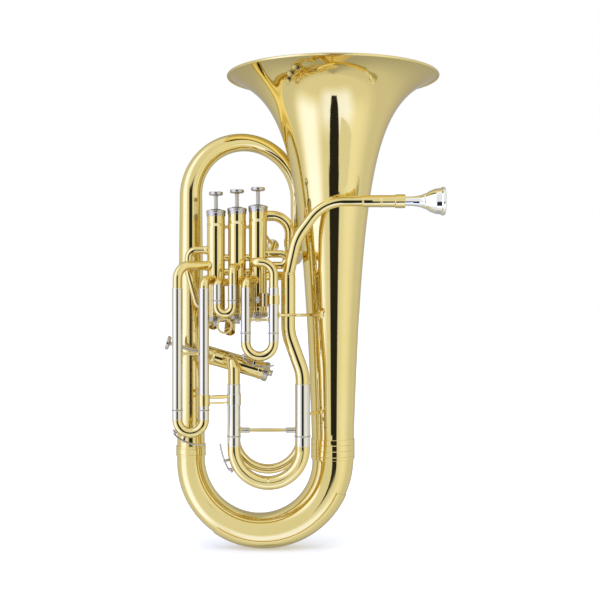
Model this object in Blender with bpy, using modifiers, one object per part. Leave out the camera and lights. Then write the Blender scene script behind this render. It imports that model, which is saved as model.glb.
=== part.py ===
"""A compensating euphonium with three upright valves and a fourth across the front, bell up.

X runs to the right across the front, Y away from the front, Z up, in metres.
The origin is the lowest point of the bottom bow's guard, under the instrument's middle.
"""

import math

import bmesh
import bpy
from mathutils import Matrix, Vector

# Gaps and walls
CLEARANCE = 0.0003
WALL = 0.0008
CASING_WALL = 0.0012
GUARD_THICKNESS = 0.0008

# Bell: a horn whose radius grows as a power of the distance to HORN_END
BELL_X = 0.0977
RIM_Z = 0.6466
RIM_RADIUS = 0.145
HORN_END = RIM_Z + 0.0334
FLARE_POWER = 0.585
BELL_FOOT_Z = 0.137
BELL_STATIONS = 10
BELL_STEPS = 24
BEAD = 0.004

# Bottom bow and outer branch
BRANCH_X = -0.0966
BOW_RADII = (0.0283, 0.0190)
BRANCH_RADII = (0.0190, 0.0153)
BRANCH_FOOT_Z = 0.134
BRANCH_BEND_Z = 0.4827
TOP_BOW_RADII = (0.0153, 0.0090)
TOP_BOW_END = (0.0485, 0.045, 0.430)
FERRULE_WALL = 0.0010
BELL_FERRULE_LENGTH = 0.028
BOW_FERRULE_LENGTH = 0.014
BOW_SEGMENTS = 16
BOW_SIDES = 12
GUARD_SEGMENTS = (2, 11)
GUARD_SIDES = 4

# Valves: 1 to 3 stand in a row, 4 lies across the front
VALVE_1 = (-0.0031, -0.045, 0.3185)
VALVE_PITCH = 0.0279
VALVE_DROP = 0.003
VALVE_4 = (0.0089, -0.042, 0.2440)
VALVE_4_TILT = -73.6
CASING_LENGTH = 0.1445
CASING_4_LENGTH = 0.0915
CASING_RADIUS = 0.0119
CAP_RADIUS = 0.0129
CAP_SKIRT = 0.0085
CAP_PLATE = 0.0020
FOOT_SKIRT = 0.0050
FOOT_NUB = 0.0052
FOOT_NUB_RADIUS = 0.0042
STEM_RADIUS = 0.0026
STEM_SHOWN = 0.0195
STEM_4_SHOWN = 0.0412
BUTTON_RADIUS = 0.0093
BUTTON_THICKNESS = 0.0045
PISTON_DROP = 0.0030
PISTON_WALL = 0.0010
SPRING_ROOM = 0.0450
SPRING_WIRE = 0.0007
SPRING_RADIUS = 0.0085
SPRING_TURNS = 4
VALVE_STEPS = 12

# Leadpipe, receiver and mouthpiece
LEADPIPE_Y = -0.070
LEADPIPE_Z = 0.4688
LEADPIPE_END_X = 0.1437
LEADPIPE_RADIUS = 0.0067
LEADPIPE_TURN_X = 0.0835
LEADPIPE_KNEE = (0.0480, 0.4200)
LEADPIPE_FOOT_Z = 0.3720
LEADPIPE_LOW_RADII = (0.0076, 0.0078)
LEADPIPE_BENDS = (0.055, 0.060)
RECEIVER_X = 0.1337
RECEIVER_LENGTH = 0.0563
RECEIVER_RADIUS = 0.0079
RECEIVER_COLLAR = 0.0090
SHANK_IN_RECEIVER = 0.025
MOUTHPIECE_LENGTH = 0.0775
MOUTHPIECE_RIM_RADIUS = 0.0187

# Slides: legs' x, plane's y, sleeve top, ring (sleeve's open end), crook's outer bottom,
# radii of the two sleeves, and how far the inner legs reach up into the sleeves
SLIDES = {
    "main": {
        "legs": (-0.0340, 0.0560), "y": -0.062, "top": 0.2295, "ring": 0.1612,
        "bottom": 0.0903, "radii": (0.0086, 0.0100), "insert": 0.058,
    },
    "first": {
        "legs": (-0.0178, 0.0185), "y": -0.078, "top": 0.3560, "ring": 0.2970,
        "bottom": 0.2600, "radii": (0.0066, 0.0066), "insert": 0.052,
    },
    "second": {
        "legs": (-0.0551, -0.0352), "y": -0.078, "top": 0.3600, "ring": 0.3390,
        "bottom": 0.3160, "radii": (0.0057, 0.0057), "insert": 0.015,
    },
    "third": {
        "legs": (-0.1066, -0.0720), "y": -0.078, "top": 0.3550, "ring": 0.1970,
        "bottom": 0.1606, "radii": (0.0068, 0.0068), "insert": 0.125,
    },
    "fourth": {
        "legs": (-0.0340, 0.0540), "y": -0.036, "top": 0.2150, "ring": 0.1700,
        "bottom": 0.1075, "radii": (0.0066, 0.0066), "insert": 0.042,
    },
}
NECK_STEP = 0.0007

# Ports: heights at which slide tubes and loops meet the valves
PORT_LOW_Z = 0.366
PORT_THIRD_LEFT_Z = 0.385
PORT_SECOND_RIGHT_Z = 0.383
PORT_FIRST_RIGHT_Z = 0.389
FOURTH_PORT_Z = 0.372
ENTRY_1_OFFSET = 0.004
STRAIGHT_BENDS = {
    "third_tube_right": 0.0095, "third_tube_left": 0.0180, "second_tube_left": 0.0060,
    "second_tube_right": 0.0100, "first_tube_left": 0.0095,
}
FIRST_RIGHT_BENDS = (0.0170, 0.0080)

# The tubes that rise beside the valves: where they run straight, and how they bend
RISER = (0.0372, -0.0640)
RISER_START_Z = 0.244
RISER_STRAIGHT_Z = 0.296
RISER_TOP_Z = 0.370
RISER_BEND = 0.060
MAIN_ENTRY = 0.060
MAIN_ENTRY_BEND = 0.0120
FOURTH_ENTRY = 0.045
FOURTH_RISER_X = 0.0385
FOURTH_RISER_Z = (0.236, 0.292)
FOURTH_RISER_BENDS = (0.050, 0.012)

LOOP_RADIUS = 0.0050
LOOP_1_HEIGHTS = (0.4010, 0.3857)
LOOP_3_HEIGHTS = (0.4060, 0.3320)
RETURN_RADIUS = 0.0070
TRANSFER_RADII = (0.0058, 0.0074)
LOOP_1_TURN_X = 0.0345
LOOP_3_LOW = (-0.083, 0.378)
LOOP_3_BENDS = (0.011, 0.030, 0.008)
RETURN_BACK = 0.025
RETURN_HEIGHTS = (0.418, 0.4535, 0.3980)
RETURN_X = 0.0390
RETURN_BENDS = (0.010, 0.012, 0.024, 0.010, 0.016)
TRANSFER_PORTS_Z = (0.342, 0.345)
TRANSFER_ENTRIES = (0.075, 0.052)
TRANSFER_LEVEL_Z = 0.306
TRANSFER_DROP = 0.020
TRANSFER_BENDS = (0.009, 0.020, 0.012)

# Pull ring, water keys, lyre holder, stays
PULL_RING_RADIUS = 0.0092
PULL_RING_WIRE = 0.0012
KEY_WIRE = 0.0014
KEY_PAD_RADIUS = 0.0036
KEY_PAD_HEIGHT = 0.0030
LYRE_Z = 0.340
LYRE_BLOCK = (0.0095, 0.0120, 0.0180)
LYRE_SOCKET_RADIUS = 0.0034
LYRE_SCREW_RADIUS = 0.0038
STAY_RADIUS = 0.0020
STAY_Z = 0.2095
BRACE_Z = 0.3200
BRACE_TURN_X = 0.0520

PARTS = "euphonium"
GOLD = (0.86, 0.62, 0.24)
SILVER = (0.80, 0.80, 0.78)
STEEL = (0.62, 0.62, 0.62)


# ---- Scene, materials and small helpers ----

def clear_scene():
    for item in list(bpy.data.objects):
        bpy.data.objects.remove(item, do_unlink=True)


def new_collection(name):
    collection = bpy.data.collections.new(name)
    bpy.context.scene.collection.children.link(collection)
    return collection


def material(name, colour, roughness):
    made = bpy.data.materials.new(name)
    made.use_nodes = True
    principled = made.node_tree.nodes["Principled BSDF"]
    principled.inputs["Base Color"].default_value = (*colour, 1.0)
    principled.inputs["Metallic"].default_value = 1.0
    principled.inputs["Roughness"].default_value = roughness
    return made


def add_object(name, data, finish, parent=None):
    item = bpy.data.objects.new(name, data)
    parts.objects.link(item)
    item.parent = parent
    made = material(name, *FINISHES[finish])
    if item.type == "CURVE":
        data.materials.append(made)
    else:
        data.materials.clear()
        data.materials.append(made)
    return item


def add_cutter(name, data, parent=None):
    item = bpy.data.objects.new(name, data)
    cutters.objects.link(item)
    item.parent = parent
    item.hide_render = True
    item.display_type = "WIRE"
    return item


def cut(item, *tools, operation="DIFFERENCE"):
    for tool in tools:
        modifier = item.modifiers.new(tool.name, "BOOLEAN")
        modifier.operation = operation
        modifier.solver = "EXACT"
        modifier.object = tool


def shade(mesh):
    mesh.shade_smooth()
    mesh.set_sharp_from_angle(angle=math.radians(40))


def turned_mesh(name, profile, closed):
    mesh = bpy.data.meshes.new(name)
    points = [(radius, 0.0, z) for radius, z in profile]
    edges = [(i, i + 1) for i in range(len(points) - 1)]
    if closed:
        edges.append((len(points) - 1, 0))
    mesh.from_pydata(points, edges, [])
    return mesh


def turned(name, profile, steps, finish, closed=True, parent=None):
    """A profile of (radius, z), outer side from top to bottom, turned about the parent's Z axis."""
    item = add_object(name, turned_mesh(name, profile, closed), finish, parent)
    add_screw(item, steps)
    return item


def add_screw(item, steps):
    screw = item.modifiers.new("Turn", "SCREW")
    screw.axis = "Z"
    screw.angle = math.tau
    screw.steps = steps
    screw.render_steps = steps
    screw.use_merge_vertices = True
    screw.merge_threshold = 0.00001
    screw.use_smooth_shade = False


def cylinder_mesh(name, radius, low, high, steps):
    mesh = bpy.data.meshes.new(name)
    shape = bmesh.new()
    place = Matrix.Translation((0, 0, (low + high) / 2))
    bmesh.ops.create_cone(
        shape, cap_ends=True, cap_tris=False, segments=steps,
        radius1=radius, radius2=radius, depth=high - low, matrix=place,
    )
    shape.to_mesh(mesh)
    shape.free()
    return mesh


def rounded_path(stations, segments):
    """Points and tube radii along straight runs joined by arcs.

    A station is (point, tube radius, bend radius). Each arc turns through one corner; the
    tube radius runs evenly along the length between two stations.
    """
    corners = [Vector(point) for point, _, _ in stations]
    made = [(corners[0], stations[0][1])]
    for i in range(1, len(corners) - 1):
        before = (corners[i - 1] - corners[i]).normalized()
        after = (corners[i + 1] - corners[i]).normalized()
        turn = math.pi - before.angle(after)
        tube, bend = stations[i][1], stations[i][2]
        if bend == 0 or turn < 0.01:
            made.append((corners[i], tube))
            continue
        reach = bend * math.tan(turn / 2)
        start = corners[i] + before * reach
        inward = (before + after).normalized()
        centre = corners[i] + inward * (bend / math.cos(turn / 2))
        spoke = start - centre
        axis = (-before).cross(after).normalized()
        count = max(2, round(segments * turn / (math.pi / 2)))
        for step in range(count + 1):
            turned_spoke = Matrix.Rotation(turn * step / count, 3, axis) @ spoke
            made.append((centre + turned_spoke, tube))
    made.append((corners[-1], stations[-1][1]))
    kept = [made[0]]
    for point, radius in made[1:]:
        if (point - kept[-1][0]).length > 0.0001:
            kept.append((point, radius))
    return kept


def curve_data(name, path, sides, caps):
    curve = bpy.data.curves.new(name, "CURVE")
    curve.dimensions = "3D"
    curve.bevel_depth = 1.0
    curve.bevel_resolution = sides // 2 - 2
    curve.use_fill_caps = caps
    spline = curve.splines.new("POLY")
    spline.points.add(len(path) - 1)
    for point, (place, radius) in zip(spline.points, path):
        point.co = (*place, 1.0)
        point.radius = radius
    return curve


def curve_mesh(name, path, sides, caps):
    """The curve's mesh, with its caps welded where it has any."""
    holder = bpy.data.objects.new(name, curve_data(name, path, sides, caps))
    bpy.context.scene.collection.objects.link(holder)
    bpy.context.view_layer.update()
    graph = bpy.context.evaluated_depsgraph_get()
    mesh = bpy.data.meshes.new_from_object(holder.evaluated_get(graph))
    bpy.data.objects.remove(holder, do_unlink=True)
    shape = bmesh.new()
    shape.from_mesh(mesh)
    bmesh.ops.remove_doubles(shape, verts=shape.verts, dist=0.00002)
    shape.to_mesh(mesh)
    shape.free()
    mesh.name = name
    return mesh


def tube(name, path, sides, finish, wall=WALL, tools=()):
    """A hollow tube along a path of (point, outer radius), open at both ends."""
    item = add_object(name, curve_mesh(name, path, sides, False), finish)
    shade(item.data)
    shell = item.modifiers.new("Wall", "SOLIDIFY")
    shell.thickness = wall
    shell.offset = -1
    shell.use_even_offset = True
    cut(item, *tools)
    return item


def rod(name, path, sides, finish, tools=()):
    """A solid wire or rod along a path of (point, radius)."""
    item = add_object(name, curve_mesh(name, path, sides, True), finish)
    cut(item, *tools)
    return item


def ring(name, outer, inner, low, high, steps, finish, parent=None):
    profile = [(outer, high), (outer, low), (inner, low), (inner, high)]
    return turned(name, profile, steps, finish, parent=parent)


def empty(name, location, rotation=(0, 0, 0)):
    item = bpy.data.objects.new(name, None)
    item.location = location
    item.rotation_euler = rotation
    parts.objects.link(item)
    return item


# ---- Bell, bottom bow, outer branch ----

def horn_radius(z):
    return RIM_RADIUS * ((HORN_END - z) / (HORN_END - RIM_Z)) ** -FLARE_POWER


def horn_profile():
    """The bell's wall: a rolled bead with a flat top, the outer side down, the inner side up."""
    bead = [
        (RIM_RADIUS - 0.75 * BEAD, RIM_Z),
        (RIM_RADIUS - 0.25 * BEAD, RIM_Z),
        (RIM_RADIUS, RIM_Z - 0.25 * BEAD),
        (RIM_RADIUS, RIM_Z - 0.75 * BEAD),
        (RIM_RADIUS - 0.25 * BEAD, RIM_Z - BEAD),
        (RIM_RADIUS - 0.75 * BEAD, RIM_Z - BEAD),
    ]
    top = RIM_Z - 0.6 * BEAD
    outer, inner = [], []
    for i in range(BELL_STATIONS + 1):
        z = top - (top - BELL_FOOT_Z) * (i / BELL_STATIONS) ** 1.7
        radius = horn_radius(z)
        slope = FLARE_POWER * radius / (HORN_END - z)
        length = math.hypot(1, slope)
        outer.append((radius, z))
        inner.append((radius - WALL / length, z + WALL * slope / length))
    inner[-1] = (outer[-1][0] - WALL, BELL_FOOT_Z)
    return bead + outer + inner[::-1]


def bow_centre():
    radius = (BELL_X - BRANCH_X) / 2
    low = GUARD_THICKNESS + CLEARANCE + sum(BOW_RADII) / 2
    return Vector(((BELL_X + BRANCH_X) / 2, 0, low + radius)), radius


def bow_path(first, last, extra):
    """Points on the half-circle bow, from one of its segments to another, grown by extra."""
    centre, radius = bow_centre()
    path = []
    for i in range(first, last + 1):
        share = i / BOW_SEGMENTS
        angle = -math.pi * share
        spoke = Vector((math.cos(angle), 0, math.sin(angle)))
        thick = BOW_RADII[0] + (BOW_RADII[1] - BOW_RADII[0]) * share
        path.append((centre + spoke * radius, thick + extra))
    return path


def make_bell_and_bows():
    bell_axis = empty("bell_axis", (BELL_X, 0, 0))
    turned("bell", horn_profile(), BELL_STEPS, "gold", parent=bell_axis)
    foot_radius = max(horn_radius(BELL_FOOT_Z), BOW_RADII[0])
    inner = foot_radius + 2 * CLEARANCE
    half = BELL_FERRULE_LENGTH / 2
    ring("bell_ferrule", inner + FERRULE_WALL, inner, BELL_FOOT_Z - half,
         BELL_FOOT_Z + half, BELL_STEPS, "gold", bell_axis)
    path = bow_path(0, BOW_SEGMENTS, 0)
    foot = Vector((BELL_X, 0, BELL_FOOT_Z - CLEARANCE))
    head = Vector((BRANCH_X, 0, BRANCH_FOOT_Z - CLEARANCE))
    path = [(foot, BOW_RADII[0])] + path + [(head, BOW_RADII[1])]
    tube("bottom_bow", path, BOW_SIDES, "gold")
    make_guard()
    make_branch()


def make_guard():
    """A thin plate over the bow's outer side, swept from an arc."""
    arc = bpy.data.curves.new("guard_section", "CURVE")
    arc.dimensions = "2D"
    spline = arc.splines.new("POLY")
    spline.points.add(GUARD_SIDES)
    for i, point in enumerate(spline.points):
        angle = math.tau * (i - GUARD_SIDES / 2) / BOW_SIDES
        point.co = (math.sin(angle), -math.cos(angle), 0, 1)
    section = bpy.data.objects.new("guard_section", arc)
    cutters.objects.link(section)
    section.hide_render = True
    path = bow_path(*GUARD_SEGMENTS, GUARD_THICKNESS + CLEARANCE)
    curve = curve_data("guard_path", path, 8, False)
    curve.bevel_mode = "OBJECT"
    curve.bevel_object = section
    curve.twist_mode = "Z_UP"
    holder = bpy.data.objects.new("guard_path", curve)
    parts.objects.link(holder)
    bpy.context.view_layer.update()
    graph = bpy.context.evaluated_depsgraph_get()
    mesh = bpy.data.meshes.new_from_object(holder.evaluated_get(graph))
    bpy.data.objects.remove(holder, do_unlink=True)
    guard = add_object("bow_guard", mesh, "gold")
    shell = guard.modifiers.new("Wall", "SOLIDIFY")
    shell.thickness = GUARD_THICKNESS
    shell.offset = 1


def make_branch():
    ferrule_axis = empty("branch_axis", (BRANCH_X, 0, 0))
    inner = BRANCH_RADII[0] + 2 * CLEARANCE
    half = BOW_FERRULE_LENGTH / 2
    ring("bow_ferrule", inner + FERRULE_WALL, inner, BRANCH_FOOT_Z - half,
         BRANCH_FOOT_Z + half, 20, "gold", ferrule_axis)
    start = Vector((BRANCH_X, 0, BRANCH_BEND_Z))
    finish = Vector((TOP_BOW_END[0], TOP_BOW_END[1], BRANCH_BEND_Z))
    centre = (start + finish) / 2
    spoke = start - centre
    path = [(Vector((BRANCH_X, 0, BRANCH_FOOT_Z)), BRANCH_RADII[0])]
    count = 12
    for i in range(count + 1):
        angle = math.pi * i / count
        place = centre + spoke * math.cos(angle)
        place.z += spoke.length * math.sin(angle)
        thick = TOP_BOW_RADII[0] + (TOP_BOW_RADII[1] - TOP_BOW_RADII[0]) * i / count
        path.append((place, thick))
    path.append((Vector(TOP_BOW_END), TOP_BOW_RADII[1]))
    tube("outer_branch", path, 10, "gold")


# ---- Valves ----

def valve_place(number):
    if number == 4:
        return VALVE_4, (0, math.radians(VALVE_4_TILT), 0)
    x, y, z = VALVE_1
    steps = number - 1
    return (x - VALVE_PITCH * steps, y, z - VALVE_DROP * steps), (0, 0, 0)


def casing_length(number):
    return CASING_4_LENGTH if number == 4 else CASING_LENGTH


def axis_point(number, height):
    """A point on a valve's axis: at a height in Z for the upright ones."""
    (x, y, _), _ = valve_place(number)
    return Vector((x, y, height))


def valve_4_point(distance):
    """A point on the fourth valve's axis, at a distance from its casing's foot."""
    tilt = math.radians(VALVE_4_TILT)
    return Vector(VALVE_4) + Vector((math.sin(tilt), 0, math.cos(tilt))) * distance


def make_valve(number):
    place, rotation = valve_place(number)
    axis = empty(f"valve_{number}_axis", place, rotation)
    length = casing_length(number)
    bore = CASING_RADIUS - CASING_WALL
    ring(f"valve_casing_{number}", CASING_RADIUS, bore, 0, length,
         VALVE_STEPS, "gold", axis)
    skirt = CASING_RADIUS + CLEARANCE
    hole = STEM_RADIUS + 2 * CLEARANCE
    top = length + CLEARANCE + CAP_PLATE
    turned(f"top_cap_{number}", [
        (CAP_RADIUS - 0.001, top), (CAP_RADIUS, top - 0.001), (CAP_RADIUS, top - CAP_SKIRT),
        (skirt, top - CAP_SKIRT), (skirt, length + CLEARANCE), (hole, length + CLEARANCE),
        (hole, top),
    ], VALVE_STEPS, "silver", parent=axis)
    foot = -CLEARANCE - CAP_PLATE
    turned(f"bottom_cap_{number}", [
        (0, -CLEARANCE), (skirt, -CLEARANCE), (skirt, FOOT_SKIRT), (CAP_RADIUS, FOOT_SKIRT),
        (CAP_RADIUS, foot + 0.001), (CAP_RADIUS - 0.001, foot), (FOOT_NUB_RADIUS, foot),
        (FOOT_NUB_RADIUS, foot - FOOT_NUB), (0, foot - FOOT_NUB),
    ], VALVE_STEPS, "silver", closed=False, parent=axis)
    make_piston(number, axis, length, bore)
    clearance = cylinder_mesh(f"casing_space_{number}", CASING_RADIUS + CLEARANCE,
                              -0.001, length + 0.001, VALVE_STEPS)
    return add_cutter(f"casing_space_{number}", clearance, axis)


def make_piston(number, axis, length, bore):
    radius = bore - CLEARANCE
    top = length - PISTON_DROP
    hollow = radius - PISTON_WALL
    piston = turned(f"piston_{number}", [
        (0, top), (radius, top), (radius, SPRING_ROOM), (hollow, SPRING_ROOM),
        (hollow, top - 2 * PISTON_WALL), (0, top - 2 * PISTON_WALL),
    ], VALVE_STEPS, "steel", closed=False, parent=axis)
    run = top - SPRING_ROOM
    for i, share in enumerate((0.25, 0.50, 0.75)):
        bore_mesh = cylinder_mesh(f"port_{number}_{i}", LOOP_RADIUS, -CAP_RADIUS, CAP_RADIUS, 8)
        port = add_cutter(f"port_{number}_{i}", bore_mesh, axis)
        port.location = (0, 0, SPRING_ROOM + run * share)
        port.rotation_euler = (math.radians(90), 0, math.radians(60 * i))
        cut(piston, port)
    shown = STEM_4_SHOWN if number == 4 else STEM_SHOWN
    button = length + CLEARANCE + CAP_PLATE + shown
    turned(f"valve_stem_{number}", [
        (0, button + BUTTON_THICKNESS), (BUTTON_RADIUS - 0.001, button + BUTTON_THICKNESS),
        (BUTTON_RADIUS, button + BUTTON_THICKNESS - 0.001), (BUTTON_RADIUS, button + 0.001),
        (BUTTON_RADIUS - 0.001, button), (STEM_RADIUS, button), (STEM_RADIUS, top + CLEARANCE),
        (0, top + CLEARANCE),
    ], VALVE_STEPS, "silver", closed=False, parent=axis)
    low = SPRING_WIRE + CLEARANCE
    high = SPRING_ROOM - SPRING_WIRE - CLEARANCE
    path = []
    count = 8 * SPRING_TURNS
    for i in range(count + 1):
        angle = math.tau * i / 8
        spot = (SPRING_RADIUS * math.cos(angle), SPRING_RADIUS * math.sin(angle),
                low + (high - low) * i / count)
        path.append((Vector(spot), SPRING_WIRE))
    spring = rod(f"valve_spring_{number}", path, 6, "steel")
    spring.parent = axis


# ---- Slides ----

def leg_radius(sleeve, sides):
    """The inner leg's radius: inside the sleeve's bore, whose flats lie nearer than its edges."""
    return (sleeve - WALL) * math.cos(math.pi / sides) - CLEARANCE


def make_crook(kind, sides, extra=()):
    slide = SLIDES[kind]
    left, right = slide["legs"]
    y, ring_z = slide["y"], slide["ring"]
    half = (right - left) / 2
    r_left, r_right = slide["radii"]
    bottom = slide["bottom"] + (r_left + r_right) / 2
    top = ring_z + slide["insert"]
    meet = ring_z - CLEARANCE
    middle = (r_left + r_right) / 2
    stations = [
        ((left, y, top), leg_radius(r_left, sides), 0),
        ((left, y, meet + 0.0001), leg_radius(r_left, sides), 0),
        ((left, y, meet - 0.0001), r_left, 0),
        ((left, y, bottom), (r_left + middle) / 2, half - 0.00001),
        ((right, y, bottom), (r_right + middle) / 2, half - 0.00001),
        ((right, y, meet - 0.0001), r_right, 0),
        ((right, y, meet + 0.0001), leg_radius(r_right, sides), 0),
        ((right, y, top), leg_radius(r_right, sides), 0),
    ]
    return tube(f"{kind}_slide", rounded_path(stations, 4), sides, "gold")


def sleeve_tube(name, kind, side, sides, onward, tools):
    """A sleeve from its open end up to its top, then a neck along the onward stations."""
    slide = SLIDES[kind]
    x, y = slide["legs"][side], slide["y"]
    radius = slide["radii"][side]
    top = slide["top"]
    stations = [
        ((x, y, slide["ring"]), radius, 0),
        ((x, y, top - 0.0001), radius, 0),
        ((x, y, top + 0.0001), radius - NECK_STEP, 0),
    ]
    for point, bend in onward:
        stations.append((point, radius - NECK_STEP, bend))
    return tube(name, rounded_path(stations, 3), sides, "silver", tools=tools)


def make_slides(spaces):
    first, second, third = SLIDES["first"], SLIDES["second"], SLIDES["third"]
    main, fourth = SLIDES["main"], SLIDES["fourth"]
    for kind, sides in (("main", 10), ("first", 8), ("second", 8), ("third", 8), ("fourth", 8)):
        make_crook(kind, sides)
    add_pull_ring(second)

    straight = (
        ("third_tube_right", "third", 1, third, 3, PORT_LOW_Z),
        ("third_tube_left", "third", 0, third, 3, PORT_THIRD_LEFT_Z),
        ("second_tube_left", "second", 0, second, 2, PORT_LOW_Z - VALVE_DROP),
        ("second_tube_right", "second", 1, second, 2, PORT_SECOND_RIGHT_Z),
        ("first_tube_left", "first", 0, first, 1, PORT_LOW_Z),
    )
    for name, kind, side, slide, valve, height in straight:
        corner = (slide["legs"][side], slide["y"], height)
        onward = [(corner, STRAIGHT_BENDS[name]), (axis_point(valve, height), 0)]
        sleeve_tube(name, kind, side, 8, onward, [spaces[valve]])

    right_x, y = first["legs"][1], first["y"]
    entry_x = VALVE_1[0] - ENTRY_1_OFFSET
    onward = [
        ((right_x, y, PORT_FIRST_RIGHT_Z), FIRST_RIGHT_BENDS[0]),
        ((entry_x, y, PORT_FIRST_RIGHT_Z), FIRST_RIGHT_BENDS[1]),
        ((entry_x, VALVE_1[1], PORT_FIRST_RIGHT_Z), 0),
    ]
    sleeve_tube("first_tube_right", "first", 1, 8, onward, [spaces[1]])

    left_x, y = main["legs"][0], main["y"]
    entry = valve_4_point(MAIN_ENTRY)
    onward = [
        ((left_x, y - 0.001, entry.z - 0.001), MAIN_ENTRY_BEND),
        (entry, 0),
    ]
    sleeve_tube("main_tube_left", "main", 0, 10, onward, [spaces[4]])
    onward = [
        ((main["legs"][1], y, RISER_START_Z), RISER_BEND),
        ((*RISER, RISER_STRAIGHT_Z), RISER_BEND),
        ((*RISER, RISER_TOP_Z), 0),
    ]
    sleeve_tube("main_tube_right", "main", 1, 10, onward, [])

    x, y = fourth["legs"][0], fourth["y"]
    entry = valve_4_point(FOURTH_ENTRY)
    sleeve_tube("fourth_tube_left", "fourth", 0, 8, [((x, y, entry.z), 0)], [spaces[4]])
    x = fourth["legs"][1]
    onward = [
        ((x, y, FOURTH_RISER_Z[0]), FOURTH_RISER_BENDS[0]),
        ((FOURTH_RISER_X, y, FOURTH_RISER_Z[1]), FOURTH_RISER_BENDS[0]),
        ((FOURTH_RISER_X, y + 0.002, FOURTH_PORT_Z), FOURTH_RISER_BENDS[1]),
        (axis_point(1, FOURTH_PORT_Z), 0),
    ]
    sleeve_tube("fourth_tube_right", "fourth", 1, 8, onward, [spaces[1]])


def add_pull_ring(slide):
    """A finger ring soldered under the second slide's crook."""
    mesh = bpy.data.meshes.new("pull_ring")
    path = []
    centre = Vector((sum(slide["legs"]) / 2, slide["y"],
                     slide["bottom"] - PULL_RING_RADIUS - PULL_RING_WIRE + 0.0006))
    count = 14
    spin = Matrix.Rotation(math.tau / count, 3, "Y")
    spoke = Vector((PULL_RING_RADIUS, 0, 0))
    shape = bmesh.new()
    section = [
        shape.verts.new(centre + spoke + Vector((math.cos(a), math.sin(a), 0)) * PULL_RING_WIRE)
        for a in (math.tau * i / 6 for i in range(6))
    ]
    edges = [shape.edges.new((section[i], section[(i + 1) % 6])) for i in range(6)]
    bmesh.ops.spin(shape, geom=section + edges, cent=centre, axis=(0, 1, 0),
                   angle=math.tau, steps=count, use_merge=True)
    bmesh.ops.recalc_face_normals(shape, faces=shape.faces)
    shape.to_mesh(mesh)
    shape.free()
    ring_cutter = add_cutter("pull_ring", mesh)
    crook = bpy.data.objects["second_slide"]
    cut(crook, ring_cutter, operation="UNION")


# ---- Loops and linking tubes ----

def make_links(spaces):
    x, y, _ = VALVE_1
    turn_x = LOOP_1_TURN_X
    high, low = LOOP_1_HEIGHTS
    bend = (high - low) / 2 - 0.00001
    path = rounded_path([
        ((x, y, high), LOOP_RADIUS, 0), ((turn_x, y, high), LOOP_RADIUS, bend),
        ((turn_x, y, low), LOOP_RADIUS, bend), ((x, y, low), LOOP_RADIUS, 0),
    ], 3)
    tube("compensating_loop_1", path, 8, "gold", tools=[spaces[1]])

    top = axis_point(3, LOOP_3_HEIGHTS[0])
    end = axis_point(3, LOOP_3_HEIGHTS[1])
    far = BRANCH_X + 0.001
    path = rounded_path([
        (top, LOOP_RADIUS, 0), ((far, y, top.z), LOOP_RADIUS, LOOP_3_BENDS[0]),
        ((far, y, LOOP_3_LOW[1]), LOOP_RADIUS, LOOP_3_BENDS[1]),
        ((LOOP_3_LOW[0], y, end.z), LOOP_RADIUS, LOOP_3_BENDS[2]), (end, LOOP_RADIUS, 0),
    ], 3)
    tube("compensating_loop_3", path, 8, "gold", tools=[spaces[3]])

    back = VALVE_1[1] + RETURN_BACK
    low, high, under = RETURN_HEIGHTS
    stations = [
        (axis_point(1, low), RETURN_RADIUS, 0),
        ((x, back, low), RETURN_RADIUS, RETURN_BENDS[0]),
        ((x + 0.002, back, high), RETURN_RADIUS, RETURN_BENDS[1]),
        ((RETURN_X, back, high), RETURN_RADIUS, RETURN_BENDS[2]),
        ((RETURN_X, back, under), RETURN_RADIUS, RETURN_BENDS[3]),
        ((*TOP_BOW_END[:2], under), TOP_BOW_RADII[1], RETURN_BENDS[4]),
        ((*TOP_BOW_END[:2], TOP_BOW_END[2] - CLEARANCE), TOP_BOW_RADII[1], 0),
    ]
    tube("return_tube", rounded_path(stations, 3), 8, "gold", tools=[spaces[1]])

    make_transfer("transfer_tube_left", 3, 0, spaces)
    make_transfer("transfer_tube_right", 2, 1, spaces)


def make_transfer(name, valve, which, spaces):
    """From the back of an upright valve, down behind it, into the fourth valve from above."""
    height, radius = TRANSFER_PORTS_Z[which], TRANSFER_RADII[which]
    entry = valve_4_point(TRANSFER_ENTRIES[which])
    start = axis_point(valve, height)
    back = VALVE_1[1] + CASING_RADIUS + radius + 0.004
    stations = [
        (start, radius, 0),
        ((start.x, back, height), radius, TRANSFER_BENDS[0]),
        ((entry.x, back, TRANSFER_LEVEL_Z), radius, TRANSFER_BENDS[1]),
        ((entry.x, back, entry.z + TRANSFER_DROP), radius, TRANSFER_BENDS[2]),
        (entry, radius, 0),
    ]
    tube(name, rounded_path(stations, 3), 8, "gold", tools=[spaces[valve], spaces[4]])


# ---- Leadpipe, receiver, mouthpiece ----

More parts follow.
